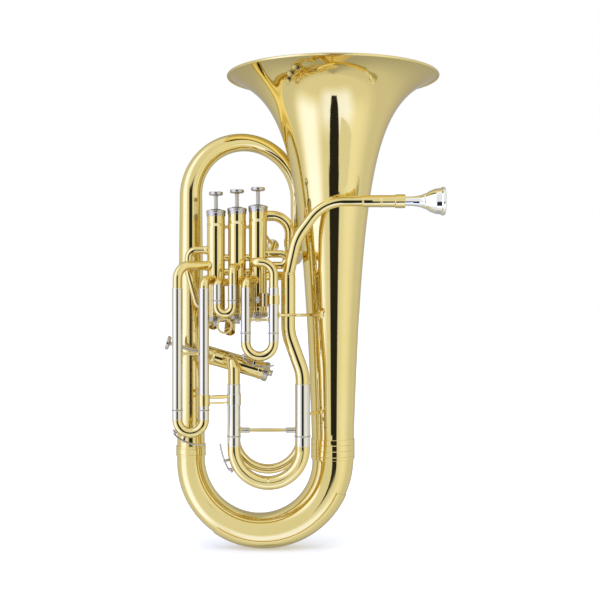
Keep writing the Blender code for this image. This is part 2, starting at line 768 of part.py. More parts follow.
def make_leadpipe():
    path = rounded_path([
        ((LEADPIPE_END_X, LEADPIPE_Y, LEADPIPE_Z), LEADPIPE_RADIUS, 0),
        ((LEADPIPE_TURN_X, LEADPIPE_Y, LEADPIPE_Z), LEADPIPE_RADIUS, LEADPIPE_BENDS[0]),
        ((LEADPIPE_KNEE[0], LEADPIPE_Y, LEADPIPE_KNEE[1]), LEADPIPE_LOW_RADII[0],
         LEADPIPE_BENDS[1]),
        ((*RISER, LEADPIPE_FOOT_Z), LEADPIPE_LOW_RADII[1], 0),
    ], 5)
    tube("leadpipe", path, 8, "gold")
    axis = empty("receiver_axis", (RECEIVER_X, LEADPIPE_Y, LEADPIPE_Z), (0, math.radians(90), 0))
    length = RECEIVER_LENGTH
    lap = LEADPIPE_END_X - RECEIVER_X + CLEARANCE
    lap_bore = LEADPIPE_RADIUS + CLEARANCE
    shank = shank_radius
    mouth = shank(SHANK_IN_RECEIVER) + 2 * CLEARANCE
    tip = shank(0) + 2 * CLEARANCE
    turned("mouthpiece_receiver", [
        (RECEIVER_COLLAR - 0.0008, length), (RECEIVER_COLLAR, length - 0.0008),
        (RECEIVER_COLLAR, length - 0.013), (RECEIVER_RADIUS, length - 0.014),
        (RECEIVER_RADIUS, 0), (lap_bore, 0), (lap_bore, lap), (tip, lap),
        (tip, length - SHANK_IN_RECEIVER), (mouth, length),
    ], VALVE_STEPS, "silver", parent=axis)
    make_mouthpiece(axis, length - SHANK_IN_RECEIVER)


def shank_radius(along):
    """The mouthpiece shank's Morse taper, from its tip."""
    return 0.0052 + 0.030 * along


def make_mouthpiece(axis, foot):
    long = MOUTHPIECE_LENGTH
    rim = MOUTHPIECE_RIM_RADIUS
    outside = [
        (rim - 0.0045, long), (rim - 0.0015, long), (rim, long - 0.0015),
        (rim, long - 0.0045), (rim - 0.0012, long - 0.006), (rim - 0.0020, long - 0.012),
        (rim - 0.0045, long - 0.020), (0.0095, long - 0.028), (0.0068, long - 0.034),
        (shank_radius(0.035), 0.035), (shank_radius(0), 0),
    ]
    inside = [
        (0.0043, 0), (0.0033, 0.036), (0.0040, long - 0.030), (0.0095, long - 0.022),
        (0.0122, long - 0.014), (rim - 0.0058, long - 0.003),
    ]
    profile = [(radius, foot + z) for radius, z in outside + inside]
    turned("mouthpiece", profile, 16, "silver", parent=axis)


# ---- Water keys, lyre holder, stays ----

def polar(centre, radius, degrees):
    angle = math.radians(degrees)
    return Vector((centre[0] + radius * math.cos(angle), centre[1],
                   centre[2] + radius * math.sin(angle)))


def crook_centre(kind):
    slide = SLIDES[kind]
    half = (slide["legs"][1] - slide["legs"][0]) / 2
    middle = sum(slide["radii"]) / 2
    place = (sum(slide["legs"]) / 2, slide["y"], slide["bottom"] + middle + half)
    return place, half + middle


def make_water_key(kind, pad, pivot, finger, reach):
    """A bent lever outside the crook: a pad on the crook, a pivot, a finger end further out."""
    centre, outer = crook_centre(kind)
    face = outer + 2 * CLEARANCE + 0.0002
    back = face + KEY_PAD_HEIGHT
    lever = back + 0.0008
    path = [
        (polar(centre, face, pad), KEY_PAD_RADIUS),
        (polar(centre, back, pad), KEY_PAD_RADIUS),
        (polar(centre, back + 0.0002, pad), KEY_WIRE),
        (polar(centre, lever + 0.0006, pad + (pivot - pad) * 0.15), KEY_WIRE),
    ]
    for i in range(1, 4):
        share = i / 3
        path.append((polar(centre, lever + 0.0006 + 0.0010 * share,
                           pad + (pivot - pad) * share), KEY_WIRE))
    for i in range(1, 4):
        share = i / 3
        radius = lever + 0.0016 + reach * share
        path.append((polar(centre, radius, pivot + (finger - pivot) * share),
                     KEY_WIRE + 0.0008 * share))
    rod(f"water_key_{kind}", path, 8, "silver")


def make_lyre_holder():
    """A drilled block beside the first slide's right sleeve, with its thumb-screw."""
    slide = SLIDES["first"]
    width, depth, height = LYRE_BLOCK
    edge = slide["legs"][1] - slide["radii"][1] - CLEARANCE
    middle = Vector((edge - width / 2, slide["y"], LYRE_Z))
    mesh = bpy.data.meshes.new("lyre_holder")
    shape = bmesh.new()
    place = Matrix.Translation(middle) @ Matrix.Diagonal((width, depth, height, 1))
    bmesh.ops.create_cube(shape, size=1, matrix=place)
    shape.to_mesh(mesh)
    shape.free()
    block = add_object("lyre_holder", mesh, "gold")
    socket = cylinder_mesh("lyre_socket", LYRE_SOCKET_RADIUS, -height, height, 12)
    hole = add_cutter("lyre_socket", socket)
    hole.location = middle
    screw_hole = cylinder_mesh("lyre_screw_hole", 0.0018, -width, 0, 8)
    side = add_cutter("lyre_screw_hole", screw_hole)
    side.location = middle
    side.rotation_euler = (0, math.radians(90), 0)
    cut(block, hole, side)
    axis = empty("lyre_screw_axis", middle, (0, math.radians(-90), 0))
    head = width / 2 + 0.0012
    turned("lyre_screw", [
        (0, head + 0.006), (LYRE_SCREW_RADIUS - 0.0008, head + 0.006),
        (LYRE_SCREW_RADIUS, head + 0.0052), (LYRE_SCREW_RADIUS, head + 0.0008),
        (LYRE_SCREW_RADIUS - 0.0008, head), (0.0013, head), (0.0013, 0.0027), (0, 0.0027),
    ], 12, "silver", closed=False, parent=axis)


def link_points(start, end, start_gap, end_gap):
    """The two ends of a straight stay between two tubes, held off each tube's axis."""
    way = (end - start).normalized()
    return start + way * start_gap, end - way * end_gap


def make_stays():
    third, main, first = SLIDES["third"], SLIDES["main"], SLIDES["first"]
    start = Vector((third["legs"][1], third["y"], STAY_Z))
    end = Vector((main["legs"][0], main["y"], STAY_Z))
    ends = link_points(start, end, third["radii"][1] + CLEARANCE,
                       main["radii"][0] + CLEARANCE)
    rod("slide_stay", [(point, STAY_RADIUS) for point in ends], 8, "gold")
    start = Vector((first["legs"][1], first["y"], BRACE_Z))
    turn = Vector((BRACE_TURN_X, first["y"], BRACE_Z))
    bell = Vector((BELL_X, 0, BRACE_Z))
    way = (bell - turn).normalized()
    stations = [
        (start + Vector((first["radii"][1] + CLEARANCE, 0, 0)), STAY_RADIUS, 0),
        (turn, STAY_RADIUS, 0.010),
        (bell - way * (horn_radius(BRACE_Z) + 2 * CLEARANCE), STAY_RADIUS, 0),
    ]
    rod("bell_brace", rounded_path(stations, 4), 8, "gold")


clear_scene()
parts = new_collection(PARTS)
cutters = new_collection("cutters")
FINISHES = {"gold": (GOLD, 0.12), "silver": (SILVER, 0.15), "steel": (STEEL, 0.30)}

make_bell_and_bows()
casing_spaces = {}
for valve_number in (1, 2, 3, 4):
    casing_spaces[valve_number] = make_valve(valve_number)
make_slides(casing_spaces)
make_links(casing_spaces)
make_leadpipe()
make_water_key("main", -150, -164, -186, 0.0040)
make_water_key("first", -138, -104, -58, 0.0050)
make_water_key("third", -142, -108, -58, 0.0080)
make_lyre_holder()
make_stays()
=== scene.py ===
# %% [markdown]
# # A compensating euphonium
# A euphonium is one long brass tube that widens from the mouthpiece to the bell, with four
# valves that add loops of tubing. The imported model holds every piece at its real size. This
# lesson makes the polished surfaces over it, piece by piece, and leaves the bodies where they are.

# %% Load the frame
import math

import bpy
import numpy as np
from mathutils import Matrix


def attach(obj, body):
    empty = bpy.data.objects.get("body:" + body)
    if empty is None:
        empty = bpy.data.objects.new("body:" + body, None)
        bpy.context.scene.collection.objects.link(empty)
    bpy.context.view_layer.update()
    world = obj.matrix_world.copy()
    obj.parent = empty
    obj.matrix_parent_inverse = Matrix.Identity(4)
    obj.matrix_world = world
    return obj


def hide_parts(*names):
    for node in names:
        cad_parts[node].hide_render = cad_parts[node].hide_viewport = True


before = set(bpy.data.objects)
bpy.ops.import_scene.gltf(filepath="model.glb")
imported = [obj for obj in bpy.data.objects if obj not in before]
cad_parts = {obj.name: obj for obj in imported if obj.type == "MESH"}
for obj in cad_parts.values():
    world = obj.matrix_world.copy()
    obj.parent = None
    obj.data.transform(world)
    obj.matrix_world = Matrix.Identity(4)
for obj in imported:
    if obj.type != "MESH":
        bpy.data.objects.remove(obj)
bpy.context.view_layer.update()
scene = bpy.context.scene

# %% [markdown]
# ## Camera, floor and studio
# The horn is looked at straight on, from the height of its middle. A real studio hangs broad
# white panels on both sides and leaves a dark gap round the camera, and that gap draws the thin
# black line down every polished tube. Panels could be area lights, but a sky whose brightness
# depends on direction gives the same panels with soft edges and no noise.

# %% Camera
camera = bpy.data.objects.new("camera", bpy.data.cameras.new("camera"))
scene.collection.objects.link(camera)
camera.location = (0.0527, -1.5, 0.3398)
camera.rotation_euler = (math.radians(90), 0, 0)
camera.data.lens = 65.7
camera.data.sensor_width = 36
camera.data.clip_end = 60
scene.camera = camera
scene.view_settings.view_transform = "Standard"


# %% [markdown]
# ## Writing node trees as sums
# Nodes can be joined by hand or by long lists of links. Here one small class wraps a socket, so
# a pattern is written as an ordinary expression and each operator adds its Math node.

# %% The class that wraps a socket
class Signal:
    """One socket of a node tree; operators on numbers add Math nodes."""

    def __init__(self, tree, socket=None):
        self.tree, self.socket = tree, socket

    def node(self, kind, settings=None, inputs=None, out=0):
        """Adds one node: its settings first, then its sockets' values or links."""
        made = self.tree.nodes.new(kind)
        for key, value in (settings or {}).items():
            if key == "stops":
                ramp = made.color_ramp.elements
                while len(ramp) < len(value):
                    ramp.new(0.5)
                for element, (place, colour) in zip(ramp, value):
                    element.position, element.color = place, (*colour, 1)
            else:
                setattr(made, key, value)
        for key, value in (inputs or {}).items():
            if isinstance(value, Signal):
                self.tree.links.new(value.socket, made.inputs[key])
            else:
                made.inputs[key].default_value = value
        return Signal(self.tree, made.outputs[out]) if made.outputs else made

    def sum_with(self, operation, first, second):
        return self.node("ShaderNodeMath", {"operation": operation}, {0: first, 1: second})

    def __add__(self, other):
        return self.sum_with("ADD", self, other)

    def __sub__(self, other):
        return self.sum_with("SUBTRACT", self, other)

    def __rsub__(self, other):
        return self.sum_with("SUBTRACT", other, self)

    def __mul__(self, other):
        return self.sum_with("MULTIPLY", self, other)

    def __truediv__(self, other):
        return self.sum_with("DIVIDE", self, other)

    __radd__ = __add__
    __rmul__ = __mul__

    def rise(self, low, high):
        """0 below low, 1 above high, and a smooth step between."""
        return self.node("ShaderNodeMapRange", {"interpolation_type": "SMOOTHSTEP"},
                         {"Value": self, "From Min": low, "From Max": high})

    def between(self, low, high, soft):
        """1 between low and high, with smooth edges that are soft wide."""
        return self.rise(low - soft, low + soft) * (1 - self.rise(high - soft, high + soft))

    def noise(self, place, scale, detail=2.0, roughness=0.5):
        """Blender's noise at a place, between 0 and 1."""
        return self.node("ShaderNodeTexNoise", None, {
            "Vector": place, "Scale": scale, "Detail": detail, "Roughness": roughness})

    def blend(self, amount, first, second):
        """A colour that goes from first to second as the amount goes from 0 to 1."""
        return self.node("ShaderNodeMix", {"data_type": "RGBA"},
                         {0: amount, 6: first, 7: second}, out=2)


# %% The studio as a sky
# Angles are in degrees: azimuth 0 is towards the camera's side and 90 to the right.
world = bpy.data.worlds.new("studio")
world.use_nodes = True
scene.world = world
world.node_tree.nodes.clear()
sky = Signal(world.node_tree)
way = sky.node("ShaderNodeTexCoord")
parts_of_way = world.node_tree.nodes.new("ShaderNodeSeparateXYZ")
world.node_tree.links.new(way.socket, parts_of_way.inputs[0])
east, north, up = (Signal(world.node_tree, parts_of_way.outputs[i]) for i in range(3))
azimuth = sky.node("ShaderNodeMath", {"operation": "ARCTAN2"},
                   {0: east, 1: north * -1.0}) * math.degrees(1)
elevation = sky.node("ShaderNodeMath", {"operation": "ARCSINE"}, {0: up}) * math.degrees(1)
turn = sky.node("ShaderNodeMath", {"operation": "ABSOLUTE"}, {0: azimuth})
ROOM_TONE, PANEL_TONE = (0.965, 1.0, 1.12), (0.86, 0.97, 1.75)
ROOM = 0.88          # the walls to the left and right
LEFT_PANEL = 0.62    # the brighter and cooler panel adds this
RIGHT_PANEL = 0.17
FLOOR_GLOW = 0.45    # a lamp on the floor in front, which only the throat and undersides show
SIDE_LOSS = 0.12     # past the panels the walls are dimmer
BACK_LOSS = 0.30     # and dimmest behind the horn
GAP = 0.97           # how much of the light the dark gap takes away
left_panel = azimuth.between(-80, -36, 13) * elevation.between(-48, 62, 12)
right_panel = azimuth.between(34, 72, 16) * elevation.between(-45, 60, 12)
gap = azimuth.between(-13, 19, 2.0) * elevation.between(-16, 14, 2.5)
glow = azimuth.between(-28, 42, 14) * elevation.between(-64, -30, 10)
light = (ROOM + glow * FLOOR_GLOW + left_panel * LEFT_PANEL + right_panel * RIGHT_PANEL
         - turn.rise(76, 100) * SIDE_LOSS - turn.rise(115, 170) * BACK_LOSS
         + elevation.rise(35, 80) * 0.12) * (1 - gap * GAP)
tone = sky.blend(left_panel + glow, (*ROOM_TONE, 1), (*PANEL_TONE, 1))
lit = sky.node("ShaderNodeBackground", None, {"Color": tone, "Strength": light})
white = sky.node("ShaderNodeBackground", None, {"Color": (1, 1, 1, 1), "Strength": 1.0})
seen = sky.node("ShaderNodeLightPath")
shown = sky.node("ShaderNodeMixShader", None, {0: seen, 1: lit, 2: white})
sky.node("ShaderNodeOutputWorld", None, {"Surface": shown})
print("studio", len(world.node_tree.nodes), "nodes")

# %% The floor
# One broad pale disc. Mirrors don't see it, so the sky and the cards shape the metal.
FLOOR_RADIUS = 24.0
ring_angles = np.linspace(0, 2 * np.pi, 97)[:-1]
floor_points = np.stack([FLOOR_RADIUS * np.cos(ring_angles), FLOOR_RADIUS * np.sin(ring_angles),
                         np.full(96, -0.0004)], 1)
PAPER_GLOW = 0.22    # lifts the floor to the white of the backdrop


def paper(name, shade, glow_colour, glow):
    """Matt paper of one grey shade, which may also glow."""
    made = bpy.data.materials.new(name)
    made.use_nodes = True
    inputs = made.node_tree.nodes["Principled BSDF"].inputs
    for key, value in (("Base Color", (shade, shade, shade, 1)), ("Roughness", 1.0),
                       ("Specular IOR Level", 0.0), ("Emission Color", (*glow_colour, 1)),
                       ("Emission Strength", glow)):
        inputs[key].default_value = value
    return made


def card(name, points, material, hidden_from):
    """One flat face in the studio, which the listed kinds of ray don't see."""
    mesh = bpy.data.meshes.new(name)
    mesh.from_pydata(points, [], [list(range(len(points)))])
    mesh.materials.append(material)
    made = bpy.data.objects.new(name, mesh)
    scene.collection.objects.link(made)
    for ray in hidden_from:
        setattr(made, f"visible_{ray}", False)


card("floor", floor_points.tolist(), paper("pale_paper", 0.93, (1, 1, 1), PAPER_GLOW), ["glossy"])
ALL_BUT_MIRRORS = ("camera", "diffuse", "shadow", "transmission")
# A dark card lies in front, under the bell, wider the farther away it is: only mirrors see it,
# and it carries the black line of the gap on up to the throat, where the metal looks down.
CARD = ((-0.474, -3.0), (0.879, -3.0), (0.150, -0.46), (0.062, -0.46))
CARD_LIFT = 0.001
card("dark_card", [(x, y, CARD_LIFT) for x, y in CARD],
     paper("black_paper", 0.02, (1, 1, 1), 0.0), ALL_BUT_MIRRORS)
# Two pale cards hide the gap from the bottom bow and from the receiver, which lie level and
# would otherwise show it as a black line along their whole length.
PALE_CARD_Y = -0.25
glow_paper = paper("glow_paper", 0.0, ROOM_TONE, ROOM)
for name, (left, right), (low, high) in (("low_card", (-0.19, 0.075), (-0.06, 0.115)),
                                         ("pipe_card", (0.158, 0.300), (0.440, 0.530))):
    corners = ((left, low), (right, low), (right, high), (left, high))
    card(name, [(x, PALE_CARD_Y, z) for x, z in corners], glow_paper, ALL_BUT_MIRRORS)
lamp = bpy.data.objects.new("overhead", bpy.data.lights.new("overhead", "SUN"))
lamp.data.energy = 0.9
lamp.data.angle = math.radians(60)
lamp.visible_glossy = False
lamp.rotation_euler = (math.radians(12), 0, 0)
scene.collection.objects.link(lamp)

# %% [markdown]
# ## Lacquered brass, nickel silver and silver plate
# Polished metal has almost no colour of its own: it shows the room, tinted. A plain metallic
# shader looks like plastic film, because real buffed tubing is never quite even. So a broad
# noise shifts the tint a little, a finer one clouds the polish, and a very weak bump bends the
# reflections the way hand-drawn tube does.


# %% Metal finishes
def metal(name, tint, deep, polish, cloud, waviness, wave_size=90.0, coat=0.0, edge=None):
    """A polished metal. The tint drifts to the deep colour with a noise; polish and cloud are the
    roughness and how much it varies; waviness is the height in metres of the slow bump."""
    made = bpy.data.materials.new(name)
    made.use_nodes = True
    made.node_tree.nodes.clear()
    tree = Signal(made.node_tree)
    place = tree.node("ShaderNodeTexCoord", out=3)
    drift = place.noise(place, 9.0, 3.0)
    spots = place.noise(place, 160.0, 4.0, 0.6)
    streak = place.noise(place.node("ShaderNodeMapping", None, {
        "Vector": place, "Scale": (1.0, 1.0, 0.12)}), 420.0, 2.0)
    amount = drift.rise(0.35, 0.75) * 0.7 + spots.rise(0.5, 0.8) * 0.3
    colour = place.blend(amount, (*tint, 1), (*deep, 1))
    rough = polish + drift.rise(0.4, 0.7) * (cloud * 0.5) + streak.rise(0.45, 0.8) * cloud
    wave = place.noise(place, wave_size, 1.0)
    fine = place.noise(place, 900.0, 2.0)
    height = wave * waviness + fine * (waviness * 0.03)
    bump = tree.node("ShaderNodeBump", None, {"Height": height, "Strength": 1.0, "Distance": 1.0})
    shader = tree.node("ShaderNodeBsdfPrincipled", None, {
        "Base Color": colour, "Metallic": 1.0, "Roughness": rough, "Normal": bump,
        "Specular Tint": (*(edge or tint), 1), "Coat Weight": coat, "Coat Roughness": 0.03,
        "Coat IOR": 1.45})
    tree.node("ShaderNodeOutputMaterial", None, {"Surface": shader})
    return made


def plain_stuff(name, tint, deep, grain, roughness, depth, sheen=0.0):
    """Felt, cork or shell: a colour that a grain moves towards the deep one, with a bump."""
    made = bpy.data.materials.new(name)
    made.use_nodes = True
    made.node_tree.nodes.clear()
    tree = Signal(made.node_tree)
    place = tree.node("ShaderNodeTexCoord", out=3)
    speck = place.noise(place, grain, 5.0, 0.65)
    colour = place.blend(speck.rise(0.35, 0.65), (*tint, 1), (*deep, 1))
    bump = tree.node("ShaderNodeBump", None, {
        "Height": speck * depth, "Strength": 1.0, "Distance": 1.0})
    shader = tree.node("ShaderNodeBsdfPrincipled", None, {
        "Base Color": colour, "Roughness": roughness, "Normal": bump, "Sheen Weight": sheen})
    tree.node("ShaderNodeOutputMaterial", None, {"Surface": shader})
    return made


finishes = {
    "brass": metal("lacquered_brass", (0.845, 0.688, 0.272), (0.80, 0.635, 0.222), 0.035, 0.05,
                   0.000022, coat=0.10, edge=(1.0, 0.93, 0.78)),
    "sleeve": metal("nickel_silver_sleeve", (0.80, 0.74, 0.56), (0.76, 0.70, 0.52), 0.05, 0.06,
                    0.000010, edge=(1.0, 0.96, 0.84)),
    "nickel": metal("nickel_silver", (0.61, 0.56, 0.43), (0.55, 0.50, 0.375), 0.11, 0.10,
                    0.000010, edge=(1.0, 0.95, 0.82)),
    "plate": metal("silver_plate", (0.93, 0.91, 0.78), (0.90, 0.88, 0.74), 0.04, 0.04,
                   0.000008, edge=(1.0, 0.98, 0.90)),
    "solder": metal("gilt_solder", (0.66, 0.49, 0.21), (0.60, 0.43, 0.17), 0.16, 0.14,
                    0.00004, 260.0),
    "piston": metal("piston_alloy", (0.70, 0.69, 0.67), (0.64, 0.63, 0.60), 0.16, 0.10, 0.000006),
    "spring": metal("spring_steel", (0.50, 0.50, 0.52), (0.42, 0.42, 0.44), 0.22, 0.10, 0.000006),
    "felt": plain_stuff("green_felt", (0.02, 0.085, 0.05), (0.01, 0.05, 0.03), 2600.0, 0.95,
                        0.00012, 0.6),
    "cork": plain_stuff("cork", (0.55, 0.36, 0.20), (0.28, 0.15, 0.07), 1500.0, 0.85, 0.00010),
    "pearl": plain_stuff("pearl_shell", (0.92, 0.92, 0.90), (0.80, 0.84, 0.86), 320.0, 0.14,
                         0.00001),
}
SLOT_OF = {"brass": "lacquered_brass", "sleeve": "slide_sleeves", "nickel": "nickel_silver",
           "plate": "silver_plate", "piston": "piston_alloy", "spring": "spring_steel",
           "solder": "lacquered_brass"}
print("finishes", ", ".join(finishes))

# %% [markdown]
# ## Two ways to make a surface
# Everything on a brass instrument is either turned on a lathe or drawn through a die and bent.
# Blender's Spin and curve bevels could do both, but worked out as grids of points the walls,
# tapers and soft edges stay exact, and every shell comes out closed.


# %% Rounded corners
def rounded(points, bends, steps=6, closed=False):
    """Replaces each corner of a polyline by an arc that touches both its sides. The arc of a
    bend r starts r / tan(half the corner) before the corner. Returns the points, and for each
    one the number of the corner it came from."""
    points = np.asarray(points, float)
    count = len(points)
    bends = np.broadcast_to(np.asarray(bends, float), (count,))
    ahead = np.roll(points, -1, 0) - points
    long_ahead = np.linalg.norm(ahead, axis=1)
    ahead = ahead / long_ahead[:, None]
    back = -np.roll(ahead, 1, 0)
    half = np.arccos(np.clip((ahead * back).sum(1), -1, 1)) / 2
    turns = (half < math.pi / 2 - 1e-4) & (bends > 0)
    if not closed:
        turns[[0, -1]] = False
    reach = np.where(turns, bends / np.tan(np.minimum(half, 1.5707)), 0.0)
    fit = np.minimum(1.0, 0.999 * long_ahead / np.maximum(reach + np.roll(reach, -1), 1e-12))
    reach = reach * np.minimum(fit, np.roll(fit, 1))
    out, source = [], []
    for i in range(count):
        if not turns[i]:
            out.append(points[i][None])
            source += [i]
            continue
        middle = back[i] + ahead[i]
        centre = points[i] + middle / np.linalg.norm(middle) * reach[i] / math.cos(half[i])
        first = points[i] + back[i] * reach[i] - centre
        last = points[i] + ahead[i] * reach[i] - centre
        sweep = math.pi - 2 * half[i]
        t = np.linspace(0, 1, steps + 1)[:, None]
        arc = (np.sin((1 - t) * sweep) * first + np.sin(t * sweep) * last) / math.sin(sweep)
        out.append(centre + arc)
        source += [i] * (steps + 1)
    return np.concatenate(out), np.array(source)


# %% Grids into meshes, and meshes into pieces
def grid_mesh(grid, loop=False, poles=(None, None)):
    """A mesh from rings of points: grid[i, j] is point j of ring i. A loop joins the last ring to
    the first; otherwise each end closes with a fan to its pole, or to the ring's middle."""
    rings, around = grid.shape[:2]
    index = np.arange(rings * around).reshape(rings, around)
    here = index if loop else index[:-1]
    ahead = np.roll(index, -1, 0) if loop else index[1:]
    quads = np.stack([here, np.roll(here, -1, 1), np.roll(ahead, -1, 1), ahead], -1)
    faces = quads.reshape(-1, 4).tolist()
    points = grid.reshape(-1, 3)
    if not loop:
        ends = [grid[0].mean(0) if poles[0] is None else poles[0],
                grid[-1].mean(0) if poles[1] is None else poles[1]]
        points = np.concatenate([points, ends])
        low, high = len(points) - 2, len(points) - 1
        first, last = index[0], index[-1]
        faces += np.stack([np.full(around, low), np.roll(first, -1), first], 1).tolist()
        faces += np.stack([np.full(around, high), last, np.roll(last, -1)], 1).tolist()
    mesh = bpy.data.meshes.new("surface")
    mesh.from_pydata(points.tolist(), [], faces)
    mesh.polygons.foreach_set("use_smooth", np.ones(len(mesh.polygons), bool))
    return mesh


made_pieces = []


def piece(name, mesh, finish, body="horn", stands_for=(), flat=False):
    """Puts a mesh into the scene with its finish, on its body; flat keeps flat faces flat."""
    mesh.name = name
    thing = bpy.data.objects.new(name, mesh)
    scene.collection.objects.link(thing)
    mesh.materials.append(finishes[finish])
    if flat:
        weights = thing.modifiers.new("Even shading", "WEIGHTED_NORMAL")
        weights.keep_sharp = True
    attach(thing, body)
    if stands_for:
        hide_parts(*stands_for)
    finish in SLOT_OF
    made_pieces.append(thing)
    return thing


# %% Frames along a path
def frames(points, hint=None):
    """Two directions across a path at each point. With a hint, the first is the part of the hint
    square to the path; without, it is carried along so that the section never twists."""
    way = np.gradient(points, axis=0)
    steps = np.diff(points, axis=0)
    steps /= np.linalg.norm(steps, axis=1)[:, None]
    way[1:-1] = steps[1:] + steps[:-1]
    way[0], way[-1] = steps[0], steps[-1]
    way /= np.linalg.norm(way, axis=1)[:, None]
    if hint is not None:
        side = np.asarray(hint, float) - way * (way @ np.asarray(hint, float))[:, None]
    else:
        side = np.zeros_like(way)
        start = np.eye(3)[np.argmin(np.abs(way[0]))]
        side[0] = start - way[0] * (way[0] @ start)
        for i in range(1, len(way)):
            side[i] = side[i - 1] - way[i] * (way[i] @ side[i - 1])
    side /= np.linalg.norm(side, axis=1)[:, None]
    return side, np.cross(way, side)


def carry(points, section, hint=None):
    """A section carried along a path: point + side * section x + rise * section y."""
    side, rise = frames(points, hint)
    section = np.broadcast_to(section, (len(points),) + np.shape(section)[-2:])
    return (points[:, None] + side[:, None] * section[..., :1]
            + rise[:, None] * section[..., 1:])


def circle(radii, sides):
    """Circles of the given radii, each a ring of points."""
    angle = np.linspace(0, 2 * np.pi, sides + 1)[:-1]
    ring = np.stack([np.cos(angle), np.sin(angle)], 1)
    return np.asarray(radii, float).reshape(-1, 1, 1) * ring


def drawn(stations, steps=14, extra=0.0):
    """A bent tube's middle line and radii from stations of (point, radius, bend)."""
    points = [station[0] for station in stations]
    radii = np.array([station[1] for station in stations])
    path, source = rounded(points, [station[2] for station in stations], steps)
    keep = np.ones(len(path), bool)
    keep[1:] = np.linalg.norm(np.diff(path, axis=0), axis=1) > 1e-6
    return path[keep], radii[source][keep] + extra


def pipe(path, radii, wall=0.0008, sides=40, hint=None):
    """A bent tube with a real wall: the skin goes up outside, over the end and back inside. An
    extra ring close to each end keeps the end's turn out of the long straight faces."""
    close = 0.0004
    t = np.array([close / np.linalg.norm(path[1] - path[0]),
                  close / np.linalg.norm(path[-1] - path[-2])])
    t = np.minimum(t, 0.4)
    radii = np.broadcast_to(np.asarray(radii, float), (len(path),))
    path = np.concatenate([path[:1], path[:1] + (path[1] - path[0]) * t[0], path[1:-1],
                           path[-1:] + (path[-2] - path[-1]) * t[1], path[-1:]])
    radii = np.concatenate([radii[:1], radii[:1] + (radii[1] - radii[0]) * t[0], radii[1:-1],
                            radii[-1:] + (radii[-2] - radii[-1]) * t[1], radii[-1:]])
    outside = carry(path, circle(radii, sides), hint)
    inside = carry(path, circle(np.asarray(radii) - wall, sides), hint)
    return grid_mesh(np.concatenate([outside, inside[::-1]]), loop=True)


def bar(path, radii, sides=20):
    """A solid round bar with softly rounded ends."""
    soft = np.array([0.55, 0.86, 1.0])
    radii = np.broadcast_to(np.asarray(radii, float), (len(path),))
    first, last = path[0] - path[1], path[-1] - path[-2]
    first, last = first / np.linalg.norm(first), last / np.linalg.norm(last)
    lift = np.array([0.0, 0.14, 0.42])[:, None] * min(radii[0], 0.0012)
    drop = np.array([0.0, 0.14, 0.42])[:, None] * min(radii[-1], 0.0012)
    path = np.concatenate([path[0] - first * lift, path[1:-1], (path[-1] - last * drop)[::-1]])
    radii = np.concatenate([radii[0] * soft, radii[1:-1], (radii[-1] * soft)[::-1]])
    return grid_mesh(carry(path, circle(radii, sides)))


# %% The lathe
def turned(profile, place=(0, 0, 0), axis=(0, 0, 1), around=64, closed=True, soft=0.0003,
           steps=3):
    """A turned piece: a profile of (radius, height) or (radius, height, bend) rows is rounded at
    its corners and spun round an axis through the place. A profile that isn't closed starts and
    ends on the axis."""
    rows = [(*row[:2], row[2] if len(row) > 2 else soft) for row in profile]
    line, _ = rounded([row[:2] for row in rows], [row[2] for row in rows], steps, closed)
    ahead = np.roll(line, -1, 0)
    if (line[:, 0] * ahead[:, 1] - ahead[:, 0] * line[:, 1]).sum() < 0:
        line = line[::-1]
    way = np.asarray(axis, float) / np.linalg.norm(axis)
    across = np.eye(3)[np.argmin(np.abs(way))]
    side = across - way * (way @ across)
    side /= np.linalg.norm(side)
    rise = np.cross(way, side)
    spin = np.linspace(0, 2 * np.pi, around + 1)[:-1]
    round_way = np.cos(spin)[:, None] * side + np.sin(spin)[:, None] * rise
    place = np.asarray(place, float)
    ring = line if closed else line[1:-1]
    grid = place + ring[:, None, :1] * round_way[None] + ring[:, None, 1:] * way
    if closed:
        return grid_mesh(grid, loop=True)
    ends = [place + way * line[0, 1], place + way * line[-1, 1]]
    return grid_mesh(grid, poles=ends)


def ferrule(name, point, axis, radius, length, finish="brass", body="horn", proud=0.0009,
            grooves=(), stands_for=()):
    """A short sleeve over a joint: a turned ring, proud of the tube, with fine turned grooves."""
    half = length / 2
    profile = [(radius - 0.0002, half), (radius - 0.0002, -half), (radius + proud * 0.6, -half)]
    profile += [(radius + proud, -half + proud * 0.5)]
    for spot in grooves:
        profile += [(radius + proud, spot - 0.0005, 0.00015), (radius + proud * 0.55, spot, 0.0001),
                    (radius + proud, spot + 0.0005, 0.00015)]
    profile += [(radius + proud, half - proud * 0.5), (radius + proud * 0.6, half)]
    mesh = turned(profile, point, axis, soft=0.0002)
    return piece(name, mesh, finish, body, stands_for, flat=True)


print("helpers ready")

# %% [markdown]
# ## The bell
# A bell is spun from a sheet cone over a mandrel, and its rim is rolled over a wire. Its radius
# grows as a power of the distance to a point just past the rim, which is what makes the flare
# so slow and then so sudden. The same formula turned on the lathe gives the exact curve.

# %% Bell
GAP_FIT = 0.0003     # the clearance between fitted pieces
WALL = 0.0008
BELL_X, BRANCH_X = 0.0977, -0.0966
RIM_Z, RIM_RADIUS, FLARE = 0.6466, 0.145, 0.585
FLARE_END = RIM_Z + 0.0334
BELL_FOOT, BRANCH_FOOT = 0.137, 0.134
BEAD = 0.0019        # radius of the wire in the rim


def horn_radius(height):
    """Rim radius times (distance to the flare's end over its value at the rim) ** -flare."""
    return RIM_RADIUS * ((FLARE_END - height) / (FLARE_END - RIM_Z)) ** -FLARE


